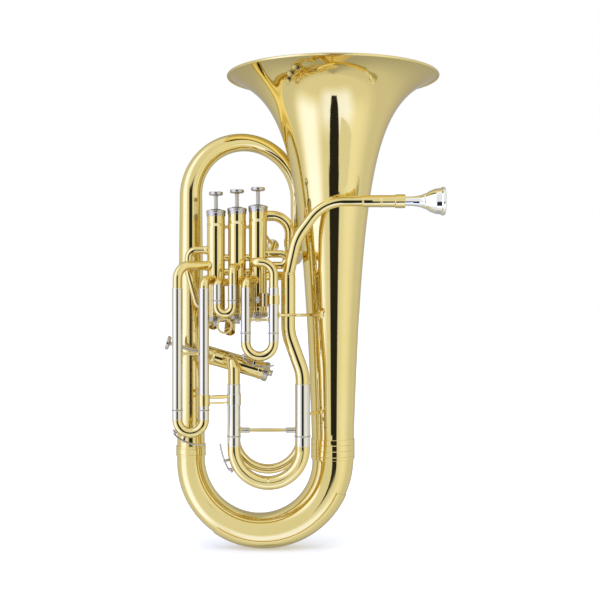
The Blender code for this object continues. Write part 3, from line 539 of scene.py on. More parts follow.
share = np.linspace(0, 1, 150)
heights = RIM_Z - BEAD - (RIM_Z - BEAD - BELL_FOOT) * (1 - share) ** 2.2
scale = (RIM_RADIUS - BEAD) / horn_radius(RIM_Z - BEAD)
radii = horn_radius(heights) * (1 + (scale - 1) * share ** 6)
slope = np.gradient(radii, heights)
across = np.stack([np.ones_like(slope), -slope], 1)
across /= np.linalg.norm(across, axis=1)[:, None]
outer = np.stack([radii, heights], 1)
inner = outer - across * WALL
bead_turn = np.linspace(-0.35 * np.pi, 1.2 * np.pi, 26)
bead = np.stack([RIM_RADIUS - BEAD + BEAD * np.cos(bead_turn),
                 RIM_Z - BEAD + BEAD * np.sin(bead_turn)], 1)
line = np.concatenate([outer, bead, inner[::-1]])
spin = np.linspace(0, 2 * np.pi, 193)[:-1]
round_way = np.stack([np.cos(spin), np.sin(spin), 0 * spin], 1)
bell_grid = line[:, None, :1] * round_way + line[:, None, 1:] * np.array([0, 0, 1.0])
piece("bell_flare", grid_mesh(bell_grid + (BELL_X, 0, 0), loop=True), "brass",
      stands_for=("bell",))
bell_foot_radius = float(horn_radius(BELL_FOOT))
ferrule("bell_foot_ferrule", (BELL_X, 0, BELL_FOOT), (0, 0, 1), 0.0290, 0.028, proud=0.0009,
        grooves=(-0.0095, -0.0015, 0.0065), stands_for=("bell_ferrule",))
print("bell foot radius", round(bell_foot_radius * 1000, 1), "mm")

# %% [markdown]
# ## Bottom bow, guard and outer branch
# The bow is a half circle of tapered tube, and a second layer of brass guards its outside where
# the horn is set down. It could be one bent cylinder, but the taper is what joins the wide bell
# foot to the narrower branch, so the radius falls evenly along the half circle.

# %% Bottom bow and its guard
BOW_RADII = (0.0283, 0.0190)
GUARD = 0.0008
bow_size = (BELL_X - BRANCH_X) / 2
bow_middle = np.array([(BELL_X + BRANCH_X) / 2, 0, GUARD + GAP_FIT + sum(BOW_RADII) / 2 + bow_size])


def bow_line(first, last, count):
    """Points and radii on the half circle, between two shares of its way round."""
    t = np.linspace(first, last, count)
    spoke = np.stack([np.cos(-np.pi * t), 0 * t, np.sin(-np.pi * t)], 1)
    return bow_middle + spoke * bow_size, BOW_RADII[0] + (BOW_RADII[1] - BOW_RADII[0]) * t


line, thick = bow_line(0, 1, 121)
line = np.concatenate([[(BELL_X, 0, BELL_FOOT - GAP_FIT)], line, [(BRANCH_X, 0, BRANCH_FOOT)]])
thick = np.concatenate([[BOW_RADII[0]], thick, [BOW_RADII[1]]])
piece("bottom_bow_tube", pipe(line, thick, sides=72, hint=(0, 1, 0)), "brass",
      stands_for=("bottom_bow",))

line, thick = bow_line(0.125, 0.6875, 120)
wide = np.radians(62)
sweep = np.linspace(-wide, wide, 40)
edge = np.linspace(0, np.pi, 7)[1:-1]
low, high = thick[:, None, None] + GAP_FIT, thick[:, None, None] + GAP_FIT + GUARD
ends = np.minimum(1, np.sqrt(np.minimum(np.arange(120), np.arange(120)[::-1]) / 2.0 + 0.15))
middle, half_wall = (low + high) / 2, (high - low) / 2 * ends[:, None, None]
loop_angle = np.concatenate([sweep, wide + 0 * edge, sweep[::-1], -wide + 0 * edge])
loop_lift = np.concatenate([1 + 0 * sweep, np.cos(edge), -1 + 0 * sweep, -np.cos(edge)])
direction = np.stack([np.sin(loop_angle), np.cos(loop_angle)], 1)
section = (middle + half_wall * loop_lift[None, :, None]) * direction
# With the hint along Y, the section's second direction points in towards the bow's middle.
rise_way = frames(line, (0, 1, 0))[1]
outward = np.sign(((line - bow_middle) * rise_way).sum(1).mean())
guard_grid = carry(line, section * (1, outward), (0, 1, 0))
piece("bow_guard_plate", grid_mesh(guard_grid[:, ::-1]
                                   if outward > 0 else guard_grid), "brass",
      stands_for=("bow_guard",))

# %% Outer branch and top bow
BRANCH_RADII, BOW_TOP_RADII = (0.0190, 0.0153), (0.0153, 0.0090)
BRANCH_BEND = 0.4827
TOP_END = np.array([0.0485, 0.045, 0.430])
t = np.linspace(0, 1, 90)
start = np.array([BRANCH_X, 0, BRANCH_BEND])
finish = np.array([TOP_END[0], TOP_END[1], BRANCH_BEND])
centre, spoke = (start + finish) / 2, (start - finish) / 2
reach = np.linalg.norm(spoke)
arc = centre + spoke * np.cos(np.pi * t)[:, None]
arc[:, 2] += reach * np.sin(np.pi * t)
line = np.concatenate([[(BRANCH_X, 0, BRANCH_FOOT)], arc, [TOP_END]])
thick = np.concatenate([[BRANCH_RADII[0]],
                        BOW_TOP_RADII[0] + (BOW_TOP_RADII[1] - BOW_TOP_RADII[0]) * t,
                        [BOW_TOP_RADII[1]]])
piece("outer_branch_tube", pipe(line, thick, sides=64), "brass",
      stands_for=("outer_branch",))
ferrule("branch_foot_ferrule", (BRANCH_X, 0, BRANCH_FOOT), (0, 0, 1), 0.0194, 0.014,
        grooves=(-0.004, 0.004), stands_for=("bow_ferrule",))
ferrule("top_bow_end_ferrule", TOP_END, (0, 0, 1), 0.0090, 0.012, grooves=(0.0,))

# %% [markdown]
# ## Valves
# Each valve is a brass casing with a screwed cap at each end, in which a piston slides against a
# spring. The player presses a button with a pearl top. The caps are knurled so that wet fingers
# can turn them. A knurl could be a bump, but its shadow shows on the outline, so the skirt's
# radius itself goes up and down round the cap.

# %% Where the valves stand
VALVE_1, PITCH, DROP = np.array([-0.0031, -0.045, 0.3185]), 0.0279, 0.0030
VALVE_4, TILT = np.array([0.0089, -0.042, 0.2440]), math.radians(-73.6)
CASING, CASING_4, CASING_R, CAP_R = 0.1445, 0.0915, 0.0119, 0.0129
SKIRT, PLATE, FOOT_SKIRT, NUB, NUB_R = 0.0085, 0.0020, 0.0050, 0.0052, 0.0042
STEM_R, STEM_SHOWN, BUTTON_R, BUTTON = 0.0026, 0.0195, 0.0093, 0.0045
STEM_4_SHOWN = 0.0412
SPRING_ROOM, PISTON_DROP, CASING_WALL = 0.0450, 0.0030, 0.0012
valves = {i: (VALVE_1 - np.array([PITCH, 0, DROP]) * (i - 1), np.array([0, 0, 1.0]), CASING)
          for i in (1, 2, 3)}
valves[4] = (VALVE_4, np.array([math.sin(TILT), 0, math.cos(TILT)]), CASING_4)


def cut_teeth(mesh, place, axis, low, high, beyond, depth):
    """Cut teeth between two heights and beyond a radius: the radius there gains depth * a wave
    that repeats every four points round the axis."""
    points = np.empty(len(mesh.vertices) * 3)
    mesh.vertices.foreach_get("co", points)
    points = points.reshape(-1, 3)
    height = (points - place) @ axis
    off = points - place - height[:, None] * axis
    reach = np.linalg.norm(off, axis=1)
    wave = np.tile([0.0, 1.0, 0.0, -1.0], len(points) // 4 + 1)[:len(points)]
    band = (height > low) & (height < high) & (reach > beyond)
    off[band] *= (1 + depth * wave[band] / reach[band])[:, None]
    mesh.vertices.foreach_set("co", (place + off + height[:, None] * axis).ravel())
    return mesh


def knurled(profile, place, axis, low, high, teeth=48, closed=True):
    """A turned cap whose skin is cut by teeth between two heights."""
    mesh = turned(profile, place, axis, around=teeth * 4, closed=closed, soft=0.0004)
    return cut_teeth(mesh, place, axis, low, high, CASING_R + 0.0004, 0.00016)


def coil(place, axis, radius, wire, low, high, turns, steps=18):
    """A helix round an axis: the angle and the height both grow evenly."""
    t = np.linspace(0, 1, turns * steps + 1)
    across = np.eye(3)[np.argmin(np.abs(axis))]
    side = across - axis * (axis @ across)
    side /= np.linalg.norm(side)
    rise = np.cross(axis, side)
    angle = 2 * np.pi * turns * t[:, None]
    return (place + radius * (np.cos(angle) * side + np.sin(angle) * rise)
            + axis * (low + (high - low) * t)[:, None])


# %% One valve, four times
for i, (foot, up_way, long) in valves.items():
    bore = CASING_R - CASING_WALL
    rings = [(CASING_R, long), (CASING_R, long - 0.0160)]
    for spot in (0.0166, 0.0178, 0.0190):
        rings += [(CASING_R + 0.00035, long - spot, 0.0001),
                  (CASING_R, long - spot - 0.0006, 0.0001)]
    rings += [(CASING_R, long * 0.5), (CASING_R, 0.0120), (CASING_R + 0.0003, 0.0114),
              (CASING_R + 0.0003, 0.0070), (CASING_R, 0.0064), (CASING_R, 0)]
    piece(f"casing_{i}", turned(rings + [(bore, 0), (bore, long)], foot, up_way,
                                around=96, soft=0.0001), "brass",
          stands_for=(f"valve_casing_{i}",), flat=True)
    top = long + GAP_FIT + PLATE
    fit, hole = CASING_R + GAP_FIT, STEM_R + 2 * GAP_FIT
    cap = [(hole, top - 0.0004), (hole + 0.0006, top), (CAP_R - 0.0042, top, 0.0002),
           (CAP_R - 0.0038, top - 0.0003, 0.0001), (CAP_R - 0.0012, top - 0.0003, 0.0006),
           (CAP_R, top - 0.0012, 0.0005), (CAP_R, top - 0.0044, 0.0004),
           (fit + 0.0004, top - 0.0049, 0.0003), (fit + 0.0004, top - SKIRT), (fit, top - SKIRT),
           (fit, long + GAP_FIT), (hole, long + GAP_FIT)]
    piece(f"cap_top_{i}", knurled(cap, foot, up_way, top - 0.0042,
                                  top - 0.0014), "nickel", stands_for=(f"top_cap_{i}",),
          flat=True)
    base = -GAP_FIT - PLATE
    cap = [(0, -GAP_FIT), (fit, -GAP_FIT), (fit, FOOT_SKIRT), (CAP_R, FOOT_SKIRT),
           (CAP_R, base + 0.0014, 0.0008), (CAP_R - 0.0030, base, 0.0010),
           (NUB_R + 0.0004, base - 0.0002, 0.0003), (NUB_R, base - 0.0012, 0.0004),
           (NUB_R * 0.82, base - NUB * 0.55, 0.0004), (NUB_R, base - NUB * 0.72, 0.0004),
           (NUB_R * 0.9, base - NUB, 0.0004), (0, base - NUB)]
    piece(f"cap_foot_{i}", knurled(cap, foot, up_way, base + 0.0018,
                                   FOOT_SKIRT - 0.0008, closed=False), "nickel",
          stands_for=(f"bottom_cap_{i}",), flat=True)
    # The piston, the stem, and the button with its pearl
    body = f"piston_{i}"
    head, slim = long - PISTON_DROP, bore - GAP_FIT
    barrel = [(0, head), (slim, head), (slim, SPRING_ROOM), (slim - 0.001, SPRING_ROOM),
              (slim - 0.001, head - 0.002), (0, head - 0.002)]
    piece(f"piston_barrel_{i}", turned(barrel, foot, up_way, closed=False),
          "piston", body, stands_for=(f"piston_{i}",), flat=True)
    low = top + (STEM_4_SHOWN if i == 4 else STEM_SHOWN)
    stem = [(0, low + BUTTON - 0.0006), (BUTTON_R - 0.0016, low + BUTTON - 0.0006, 0.0002),
            (BUTTON_R - 0.0013, low + BUTTON, 0.0002), (BUTTON_R - 0.0004, low + BUTTON, 0.0003),
            (BUTTON_R, low + BUTTON * 0.78, 0.0012), (BUTTON_R, low + BUTTON * 0.20, 0.0012),
            (BUTTON_R - 0.0012, low, 0.0010), (STEM_R + 0.0014, low, 0.0006),
            (STEM_R, low - 0.0016, 0.0008), (STEM_R, head + GAP_FIT), (0, head + GAP_FIT)]
    piece(f"stem_{i}", turned(stem, foot, up_way, around=72, closed=False, steps=5),
          "nickel", body, stands_for=(f"valve_stem_{i}",), flat=True)
    pearl = [(0, low + BUTTON - 0.0002), (BUTTON_R - 0.0046, low + BUTTON - 0.0003, 0.0010),
             (BUTTON_R - 0.0019, low + BUTTON - 0.0007, 0.0003),
             (BUTTON_R - 0.0019, low + BUTTON - 0.0012), (0, low + BUTTON - 0.0012)]
    piece(f"pearl_{i}", turned(pearl, foot, up_way, around=48, closed=False),
          "pearl", body)
    felt = [(STEM_R + 0.0017, top + 0.0001), (STEM_R + 0.0044, top + 0.0001, 0.0003),
            (STEM_R + 0.0044, top + 0.0009, 0.0003), (STEM_R + 0.0017, top + 0.0009)]
    piece(f"felt_{i}", turned(felt, foot, up_way, around=48), "felt")
    wire = coil(foot, up_way, 0.0085, 0.0007, 0.0010, SPRING_ROOM - 0.0010, 5)
    piece(f"spring_{i}", bar(wire, 0.0007, 10), "spring",
                   stands_for=(f"valve_spring_{i}",))
print("valve 4 leans", round(math.degrees(TILT), 1), "degrees")

# %% [markdown]
# ## Slides
# Every slide is a U-shaped crook whose two thin inner legs run up inside two nickel-silver
# sleeves. Nickel silver is harder than brass and doesn't bind, so the parts that rub are made
# of it and the bends are brass. Each leg ends in a collar as wide as its sleeve, and both meet
# at a fine bead. One table holds all five, and a function makes one slide from a row of it.

# %% The slide table
SLIDES = {
    "main": ((-0.0340, 0.0560), -0.062, 0.2295, 0.1612, 0.0903, (0.0086, 0.0100), 0.058, 0.0130),
    "first": ((-0.0178, 0.0185), -0.078, 0.3560, 0.2970, 0.2600, (0.0066, 0.0066), 0.052, 0.0115),
    "second": ((-0.0551, -0.0352), -0.078, 0.3600, 0.3390, 0.3160, (0.0057, 0.0057), 0.015,
               0.0042),
    "third": ((-0.1066, -0.0720), -0.078, 0.3550, 0.1970, 0.1606, (0.0068, 0.0068), 0.125, 0.0125),
    "fourth": ((-0.0340, 0.0540), -0.036, 0.2150, 0.1700, 0.1075, (0.0066, 0.0066), 0.042,
               0.0120),
}
SIDES_OF = {"main": 10, "first": 8, "second": 8, "third": 8, "fourth": 8}
NECK_STEP = 0.0007


def bead_ring(name, point, radius, body, finish="sleeve", wide=0.0011, proud=0.00075):
    """A fine half-round bead round a tube."""
    profile = [(radius - 0.0002, -wide / 2), (radius + proud, -wide / 2, proud * 0.6),
               (radius + proud, wide / 2, proud * 0.6), (radius - 0.0002, wide / 2)]
    return piece(name, turned(profile, point, around=56, soft=0.0001, steps=5), finish,
                 body)


def crook(kind):
    """The U: collar, half circle, collar, with a thin leg up into each sleeve."""
    legs, y, top, meet, bottom, radii, insert, collar = SLIDES[kind]
    body = f"{kind}_slide"
    middle = sum(radii) / 2
    half = (legs[1] - legs[0]) / 2
    foot = bottom + middle
    gold = drawn([((legs[0], y, meet - collar), radii[0], 0),
                  ((legs[0], y, foot), (radii[0] + middle) / 2, half - 1e-5),
                  ((legs[1], y, foot), (radii[1] + middle) / 2, half - 1e-5),
                  ((legs[1], y, meet - collar), radii[1], 0)], 40)
    t = np.linspace(0, 1, len(gold[0]))
    thick = radii[0] + (radii[1] - radii[0]) * t - 0.00012
    piece(f"{kind}_crook", pipe(gold[0], thick, hint=(0, 1, 0)), "brass", body,
          stands_for=(f"{kind}_slide",))
    for side, name in ((0, "left"), (1, "right")):
        x, wide = legs[side], radii[side]
        thin = (wide - WALL) * math.cos(math.pi / SIDES_OF[kind]) - GAP_FIT
        profile = [(wide, meet - GAP_FIT), (wide, meet - collar), (thin - WALL, meet - collar),
                   (thin - WALL, meet + insert), (thin, meet + insert), (thin, meet - GAP_FIT)]
        piece(f"{kind}_leg_{name}", turned(profile, (x, y, 0), around=56),
              "sleeve", body, flat=True)
        bead_ring(f"{kind}_collar_bead_{name}", (x, y, meet - 0.0009), wide, body)
        bead_ring(f"{kind}_collar_foot_{name}", (x, y, meet - collar), wide - 0.0002, body,
                  wide=0.0006, proud=0.00035)
        bead_ring(f"{kind}_sleeve_bead_{name}", (x, y, meet + 0.0007), wide, "horn")
        profile = [(wide, top), (wide, meet), (wide - WALL, meet), (wide - WALL, top)]
        node = f"{kind}_tube_{name}"
        piece(f"{kind}_sleeve_{name}", turned(profile, (x, y, 0),
                                              around=64), "sleeve", stands_for=(node,), flat=True)
        bead_ring(f"{kind}_sleeve_top_{name}", (x, y, top - 0.0006), wide, "horn", wide=0.0008,
                  proud=0.00025)


for kind in SLIDES:
    crook(kind)
# The second slide is too short to grip, so it has a ring to pull.
RING_R, RING_WIRE = 0.0092, 0.0015
legs, y, _, _, bottom = SLIDES["second"][:5]
turns = np.linspace(0, 2 * np.pi, 25)[:-1]
profile = [(RING_R + RING_WIRE * math.cos(a), RING_WIRE * math.sin(a), 0) for a in turns]
piece("pull_ring", turned(profile, (sum(legs) / 2, y, bottom - RING_R - 0.0006),
                          (0, 1, 0), around=96), "brass", "second_slide")
print("slides", ", ".join(SLIDES))

# %% [markdown]
# ## Necks, loops and linking tubes
# From the sleeves' tops the air goes on through bent necks into the valves, and through three
# short loops that correct the pitch. Bent tube keeps its radius and turns in clean arcs, so each
# is drawn along stations of a point, a tube radius and a bend radius.

# %% Points on the valves
def on_valve(number, height):
    """A point on an upright valve's axis at a height."""
    foot = valves[number][0]
    return np.array([foot[0], foot[1], height])


def on_fourth(distance):
    """A point on the fourth valve's axis, at a distance from its foot."""
    return VALVE_4 + valves[4][1] * distance


def neck(kind, side, onward, node=None):
    """A neck from the top of a sleeve along the onward stations of (point, bend)."""
    legs, y, top, _, _, radii, _, _ = SLIDES[kind]
    wide = radii[side] - NECK_STEP
    start = (legs[side], y, top - 0.004)
    line, thick = drawn([(start, wide, 0)] + [(point, wide, bend) for point, bend in onward], 18)
    name = f"{kind}_neck_{('left', 'right')[side]}"
    return piece(name, pipe(line, thick), "brass")


def port_ferrule(name, point, towards, radius, length=0.0045):
    """A short gilt collar where a tube meets a casing's wall."""
    way = np.asarray(towards, float) - point
    way /= np.linalg.norm(way)
    start = np.asarray(point) + way * (CASING_R + length / 2 - 0.0012)
    profile = [(radius - 0.0003, -length / 2), (radius + 0.0011, -length / 2, 0.0004),
               (radius + 0.0006, length * 0.15, 0.0006), (radius + 0.0002, length / 2, 0.0002),
               (radius - 0.0003, length / 2)]
    return piece(name, turned(profile, start, way, around=56, soft=0.0001, steps=4),
                 "brass")


# %% Necks of the slides
RISER_X, RISER_Y = 0.0372, -0.064    # where the leadpipe meets the main slide's riser
# A tube that reaches a casing ends in its wall, clear of the piston inside.
INTO_WALL = CASING_R - 0.0010
INTO_FOURTH = INTO_WALL / math.cos(TILT)
LOW_PORT = 0.366
ports = (("third", 1, 3, LOW_PORT, 0.0095), ("third", 0, 3, 0.385, 0.0180),
         ("second", 0, 2, LOW_PORT - DROP, 0.0060), ("second", 1, 2, 0.383, 0.0100),
         ("first", 0, 1, LOW_PORT, 0.0095))
for kind, side, valve, height, bend in ports:
    legs, y = SLIDES[kind][:2]
    corner = np.array([legs[side], y, height])
    aim = on_valve(valve, height)
    neck(kind, side, [(corner, bend), (aim, 0)])
    port_ferrule(f"{kind}_port_{side}", aim, corner, SLIDES[kind][5][side] - NECK_STEP)
first_legs, first_y = SLIDES["first"][:2]
entry_x = VALVE_1[0] - 0.004
neck("first", 1, [((first_legs[1], first_y, 0.389), 0.0170), ((entry_x, first_y, 0.389), 0.0080),
                  ((entry_x, VALVE_1[1], 0.389), 0)])
main_legs, main_y = SLIDES["main"][:2]
entry = on_fourth(0.060)
neck("main", 0, [((main_legs[0], main_y - 0.001, entry[2] - 0.001), 0.0120), (entry, 0)])
neck("main", 1, [((main_legs[1], main_y, 0.244), 0.060), ((RISER_X, RISER_Y, 0.296), 0.060),
                 ((RISER_X, RISER_Y, 0.370), 0)])
fourth_legs, fourth_y = SLIDES["fourth"][:2]
neck("fourth", 0, [((fourth_legs[0], fourth_y, on_fourth(0.045)[2] - INTO_FOURTH), 0)])
neck("fourth", 1, [((fourth_legs[1], fourth_y, 0.236), 0.050), ((0.0385, -0.036, 0.292), 0.050),
                   ((0.0385, -0.034, 0.372), 0.012), (on_valve(1, 0.372), 0)])

# %% Loops, return tube and transfer tubes
LOOP_R, RETURN_R = 0.0050, 0.0070
x, y = VALVE_1[:2]
LOOPS = {
    "compensating_loop_1": [
        ((x, y, 0.4010), LOOP_R, 0), ((0.0345, y, 0.4010), LOOP_R, 0.00764),
        ((0.0345, y, 0.3857), LOOP_R, 0.00764), ((x, y, 0.3857), LOOP_R, 0)],
    "compensating_loop_3": [
        (on_valve(3, 0.4060), LOOP_R, 0), ((BRANCH_X + 0.001, y, 0.4060), LOOP_R, 0.011),
        ((BRANCH_X + 0.001, y, 0.378), LOOP_R, 0.030), ((-0.083, y, 0.3320), LOOP_R, 0.008),
        (on_valve(3, 0.3320), LOOP_R, 0)],
    "return_tube": [
        (on_valve(1, 0.418), RETURN_R, 0), ((x, y + 0.025, 0.418), RETURN_R, 0.010),
        ((x + 0.002, y + 0.025, 0.4535), RETURN_R, 0.012),
        ((0.0390, y + 0.025, 0.4535), RETURN_R, 0.024),
        ((0.0390, y + 0.025, 0.3980), RETURN_R, 0.010),
        ((TOP_END[0], TOP_END[1], 0.3980), BOW_TOP_RADII[1], 0.016),
        (TOP_END - (0, 0, GAP_FIT), BOW_TOP_RADII[1], 0)],
}
for name, valve, height, along, radius in (("transfer_tube_left", 3, 0.342, 0.075, 0.0058),
                                           ("transfer_tube_right", 2, 0.345, 0.052, 0.0074)):
    begin, end = on_valve(valve, height) + (0, INTO_WALL, 0), on_fourth(along) + (0, 0, INTO_FOURTH)
    back = y + CASING_R + radius + 0.004
    LOOPS[name] = [(begin, radius, 0), ((begin[0], back, height), radius, 0.009),
                   ((end[0], back, 0.306), radius, 0.020),
                   ((end[0], back, end[2] + 0.020), radius, 0.012), (end, radius, 0)]
for name, stations in LOOPS.items():
    line, thick = drawn(stations, 18)
    piece(f"{name}_drawn", pipe(line, thick), "brass", stands_for=(name,))
port_ferrule("loop_1_port_high", on_valve(1, 0.4010), (1, y, 0.4010), LOOP_R)
port_ferrule("loop_1_port_low", on_valve(1, 0.3857), (1, y, 0.3857), LOOP_R)
port_ferrule("loop_3_port_high", on_valve(3, 0.4060), (-1, y, 0.4060), LOOP_R)
port_ferrule("loop_3_port_low", on_valve(3, 0.3320), (-1, y, 0.3320), LOOP_R)
ferrule("return_ferrule", (0.0390, y + 0.025, 0.4170), (0, 0, 1), RETURN_R, 0.0100,
        grooves=(-0.0025, 0.0025))
for high, low_valve in ((0.3975, 3), (0.3975, 2), (0.3785, 3), (0.3785, 2)):
    a, b = on_valve(low_valve, high - 0.003), on_valve(low_valve - 1, high)
    line = np.array([a, b]) + np.array([[0, 0.002, 0.001], [0, 0.002, -0.001]])
    name = f"knuckle_{low_valve}_{round(high * 1e4)}"
    piece(name, bar(line, 0.0046, 32), "brass")

# %% [markdown]
# ## Leadpipe, receiver and mouthpiece
# The leadpipe is the first tube of the instrument. It ends in a brass receiver, bored to the
# mouthpiece shank's taper. The mouthpiece is turned from solid brass and silver plated: a
# rounded rim, a cup, a heavy collar outside the throat, and the shank.

# %% Leadpipe and receiver
PIPE_Y, PIPE_Z, PIPE_END = -0.070, 0.4688, 0.1437
RECEIVER_X, RECEIVER, SHANK_IN = 0.1337, 0.0563, 0.025
line, thick = drawn([((PIPE_END, PIPE_Y, PIPE_Z), 0.0067, 0),
                     ((0.0835, PIPE_Y, PIPE_Z), 0.0067, 0.055),
                     ((0.0480, PIPE_Y, 0.4200), 0.0076, 0.060),
                     ((RISER_X, RISER_Y, 0.3720), 0.0078, 0)], 40)
piece("leadpipe_drawn", pipe(line, thick, sides=48), "brass",
      stands_for=("leadpipe",))
along_x = np.array([1.0, 0, 0])
mouth_start = np.array([RECEIVER_X, PIPE_Y, PIPE_Z])
lap = PIPE_END - RECEIVER_X + GAP_FIT


def shank(distance):
    """The shank's taper: its radius grows evenly from the tip."""
    return 0.0052 + 0.030 * distance


tip, wide_end = shank(0) + 2 * GAP_FIT, shank(SHANK_IN) + 2 * GAP_FIT
profile = [(0.0090 - 0.0004, RECEIVER), (0.0090, RECEIVER - 0.0007), (0.0090, RECEIVER - 0.0125),
           (0.0079, RECEIVER - 0.0136, 0.0006), (0.0079, RECEIVER - 0.0300, 0.001),
           (0.0083, RECEIVER - 0.0306, 0.0002), (0.0083, RECEIVER - 0.0318, 0.0002),
           (0.0079, RECEIVER - 0.0324, 0.0004), (0.0079, 0.0022), (0.0074, 0, 0.0005),
           (0.0070, 0), (0.0070, lap), (tip, lap), (tip, RECEIVER - SHANK_IN),
           (wide_end, RECEIVER)]
piece("receiver_turned", turned(profile, mouth_start, along_x, around=72),
      "brass", stands_for=("mouthpiece_receiver",), flat=True)

# %% Mouthpiece
long, rim, foot = 0.0775, 0.0187, RECEIVER - SHANK_IN
outside = [(rim - 0.0052, long - 0.0005, 0.0018), (rim - 0.0032, long, 0.0012),
           (rim - 0.0012, long - 0.0003, 0.0012), (rim, long - 0.0018, 0.0012),
           (rim, long - 0.0042, 0.0010), (rim - 0.0014, long - 0.0060, 0.0012),
           (rim - 0.0022, long - 0.0130, 0.008), (rim - 0.0052, long - 0.0205, 0.008),
           (0.0098, long - 0.0262, 0.003), (0.0100, long - 0.0280, 0.0006),
           (0.0090, long - 0.0292, 0.0006), (0.0074, long - 0.0345, 0.004),
           (shank(0.035), 0.035, 0.006), (shank(0), 0)]
inside = [(0.0044, 0), (0.0033, 0.036, 0.01), (0.0037, long - 0.030, 0.006),
          (0.0088, long - 0.0225, 0.008), (0.0118, long - 0.0140, 0.008),
          (rim - 0.0060, long - 0.0030, 0.003)]
profile = [(row[0], foot + row[1], *row[2:]) for row in outside + inside]
piece("mouthpiece_turned", turned(profile, mouth_start, along_x, around=112,
                                  steps=7), "plate", "mouthpiece", stands_for=("mouthpiece",))
print("mouthpiece length", round(long * 1000, 1), "mm")

# %% [markdown]
# ## Water keys, stays and the small fittings
# A water key is a sprung lever: a cork pad closes a short spout on the bend, and a finger plate
# at the other end lifts it. The lever is filed from sheet, so it is a flat bar that widens
# towards the finger. A round wire would be easier, but the flat plate is what a finger feels.

# %% Flat bars
def plate_bar(path, widths, thick, across):
    """A flat bar with round edges: an oval-cornered section, as wide as the widths say, carried
    along a path and kept level with the across direction."""
    angle = np.linspace(0, 2 * np.pi, 25)[:-1]
    power = 0.45
    shape = np.stack([np.sign(np.cos(angle)) * np.abs(np.cos(angle)) ** power,
                      np.sign(np.sin(angle)) * np.abs(np.sin(angle)) ** power], 1)
    size = np.stack([np.asarray(widths) / 2, np.full(len(path), thick / 2)], 1)
    return grid_mesh(carry(path, shape[None] * size[:, None], across))

# %% Water keys
def on_crook(kind, extra, degrees):
    """A point round the middle of a crook's half circle, extra outside its skin."""
    legs, y, _, _, bottom, radii, _, _ = SLIDES[kind]
    half, middle = (legs[1] - legs[0]) / 2, sum(radii) / 2
    reach = half + middle + extra
    angle = math.radians(degrees)
    return np.array([sum(legs) / 2 + reach * math.cos(angle), y,
                     bottom + middle + half + reach * math.sin(angle)])


PAD_R, PAD = 0.0036, 0.0030
for kind, pad, pivot, finger, reach in (("main", -150, -164, -186, 0.0040),
                                        ("first", -138, -104, -58, 0.0050),
                                        ("third", -142, -108, -58, 0.0080)):
    body, slide_body = f"water_key_{kind}", f"{kind}_slide"
    y = SLIDES[kind][1]
    face = 0.0008
    out = on_crook(kind, 1.0, pad) - on_crook(kind, 0.0, pad)
    out /= np.linalg.norm(out)
    seat = on_crook(kind, 0, pad)
    cup = [(0, PAD + face), (PAD_R - 0.0004, PAD + face, 0.0005), (PAD_R, PAD - 0.0004, 0.0004),
           (PAD_R, face + 0.0008), (PAD_R - 0.0005, face + 0.0008), (PAD_R - 0.0005, face + 0.0016),
           (0, face + 0.0016)]
    piece(f"key_cup_{kind}", turned(cup, seat, out, around=48, closed=False,
                                    soft=0.0001), "nickel", body,
          stands_for=(f"water_key_{kind}",), flat=True)
    cork = [(0, face + 0.0017), (PAD_R - 0.0006, face + 0.0017), (PAD_R - 0.0006, face),
            (0, face)]
    piece(f"key_cork_{kind}", turned(cork, seat, out, around=40,
                                     closed=False, soft=0.0002), "cork", body)
    spout = [(0.0026, face - 0.0001), (0.0030, -0.0016, 0.0004), (0.0014, -0.0016),
             (0.0014, face - 0.0001)]
    piece(f"key_spout_{kind}", turned(spout, seat, out, around=40,
                                      soft=0.0001), "nickel", slide_body)
    lever = PAD + face + 0.0004
    t = np.linspace(0, 1, 60)
    turn_to_pivot = np.minimum(t / 0.35, 1.0)
    turn_to_finger = np.clip((t - 0.35) / 0.65, 0, 1)
    angles = pad + (pivot - pad) * turn_to_pivot + (finger - pivot) * turn_to_finger
    lift = lever + 0.0010 * turn_to_pivot + reach * turn_to_finger ** 1.3
    path = np.array([on_crook(kind, h, a) for h, a in zip(lift, angles)])
    widths = 0.0030 + 0.0004 * np.cos(t * 9) + 0.0038 * np.clip((t - 0.62) / 0.38, 0, 1) ** 1.4
    widths *= np.minimum(1, np.sqrt((1 - t) / 0.045 + 0.02))
    piece(f"key_lever_{kind}", plate_bar(path, widths, 0.0022, (0, 1, 0)),
          "nickel", body)
    hinge = on_crook(kind, lever + 0.0010, pivot)
    for side in (-1, 1):
        post = np.array([on_crook(kind, -0.0004, pivot), hinge]) + (0, side * 0.0030, 0)
        post[0] += (post[1] - post[0]) * 0.02
        piece(f"key_post_{kind}_{'ab'[side > 0]}", plate_bar(
            np.linspace(post[0], post[1] + (post[1] - post[0]) * 0.3, 8),
            [0.0011] * 8, 0.0034, (0, 1, 0)), "nickel", slide_body)
    pin = np.linspace(hinge - (0, 0.0042, 0), hinge + (0, 0.0042, 0), 6)
    piece(f"key_pin_{kind}", bar(pin, 0.0009, 20), "nickel", slide_body)
    wire = coil(hinge, np.array([0, 1.0, 0]), 0.0016, 0.0003, -0.0022, 0.0022, 5, 16)
    piece(f"key_spring_{kind}", bar(wire, 0.00028, 8), "spring", slide_body)

# %% Lyre holder
def band(name, place, radius, length, finish="brass"):
    """A thin band soldered round an upright sleeve."""
    half = length / 2
    profile = [(radius - 0.0001, -half), (radius + 0.0009, -half, 0.0004),
               (radius + 0.0009, half, 0.0004), (radius - 0.0001, half)]
    piece(name, turned(profile, place, around=56, soft=0.0001), finish, flat=True)


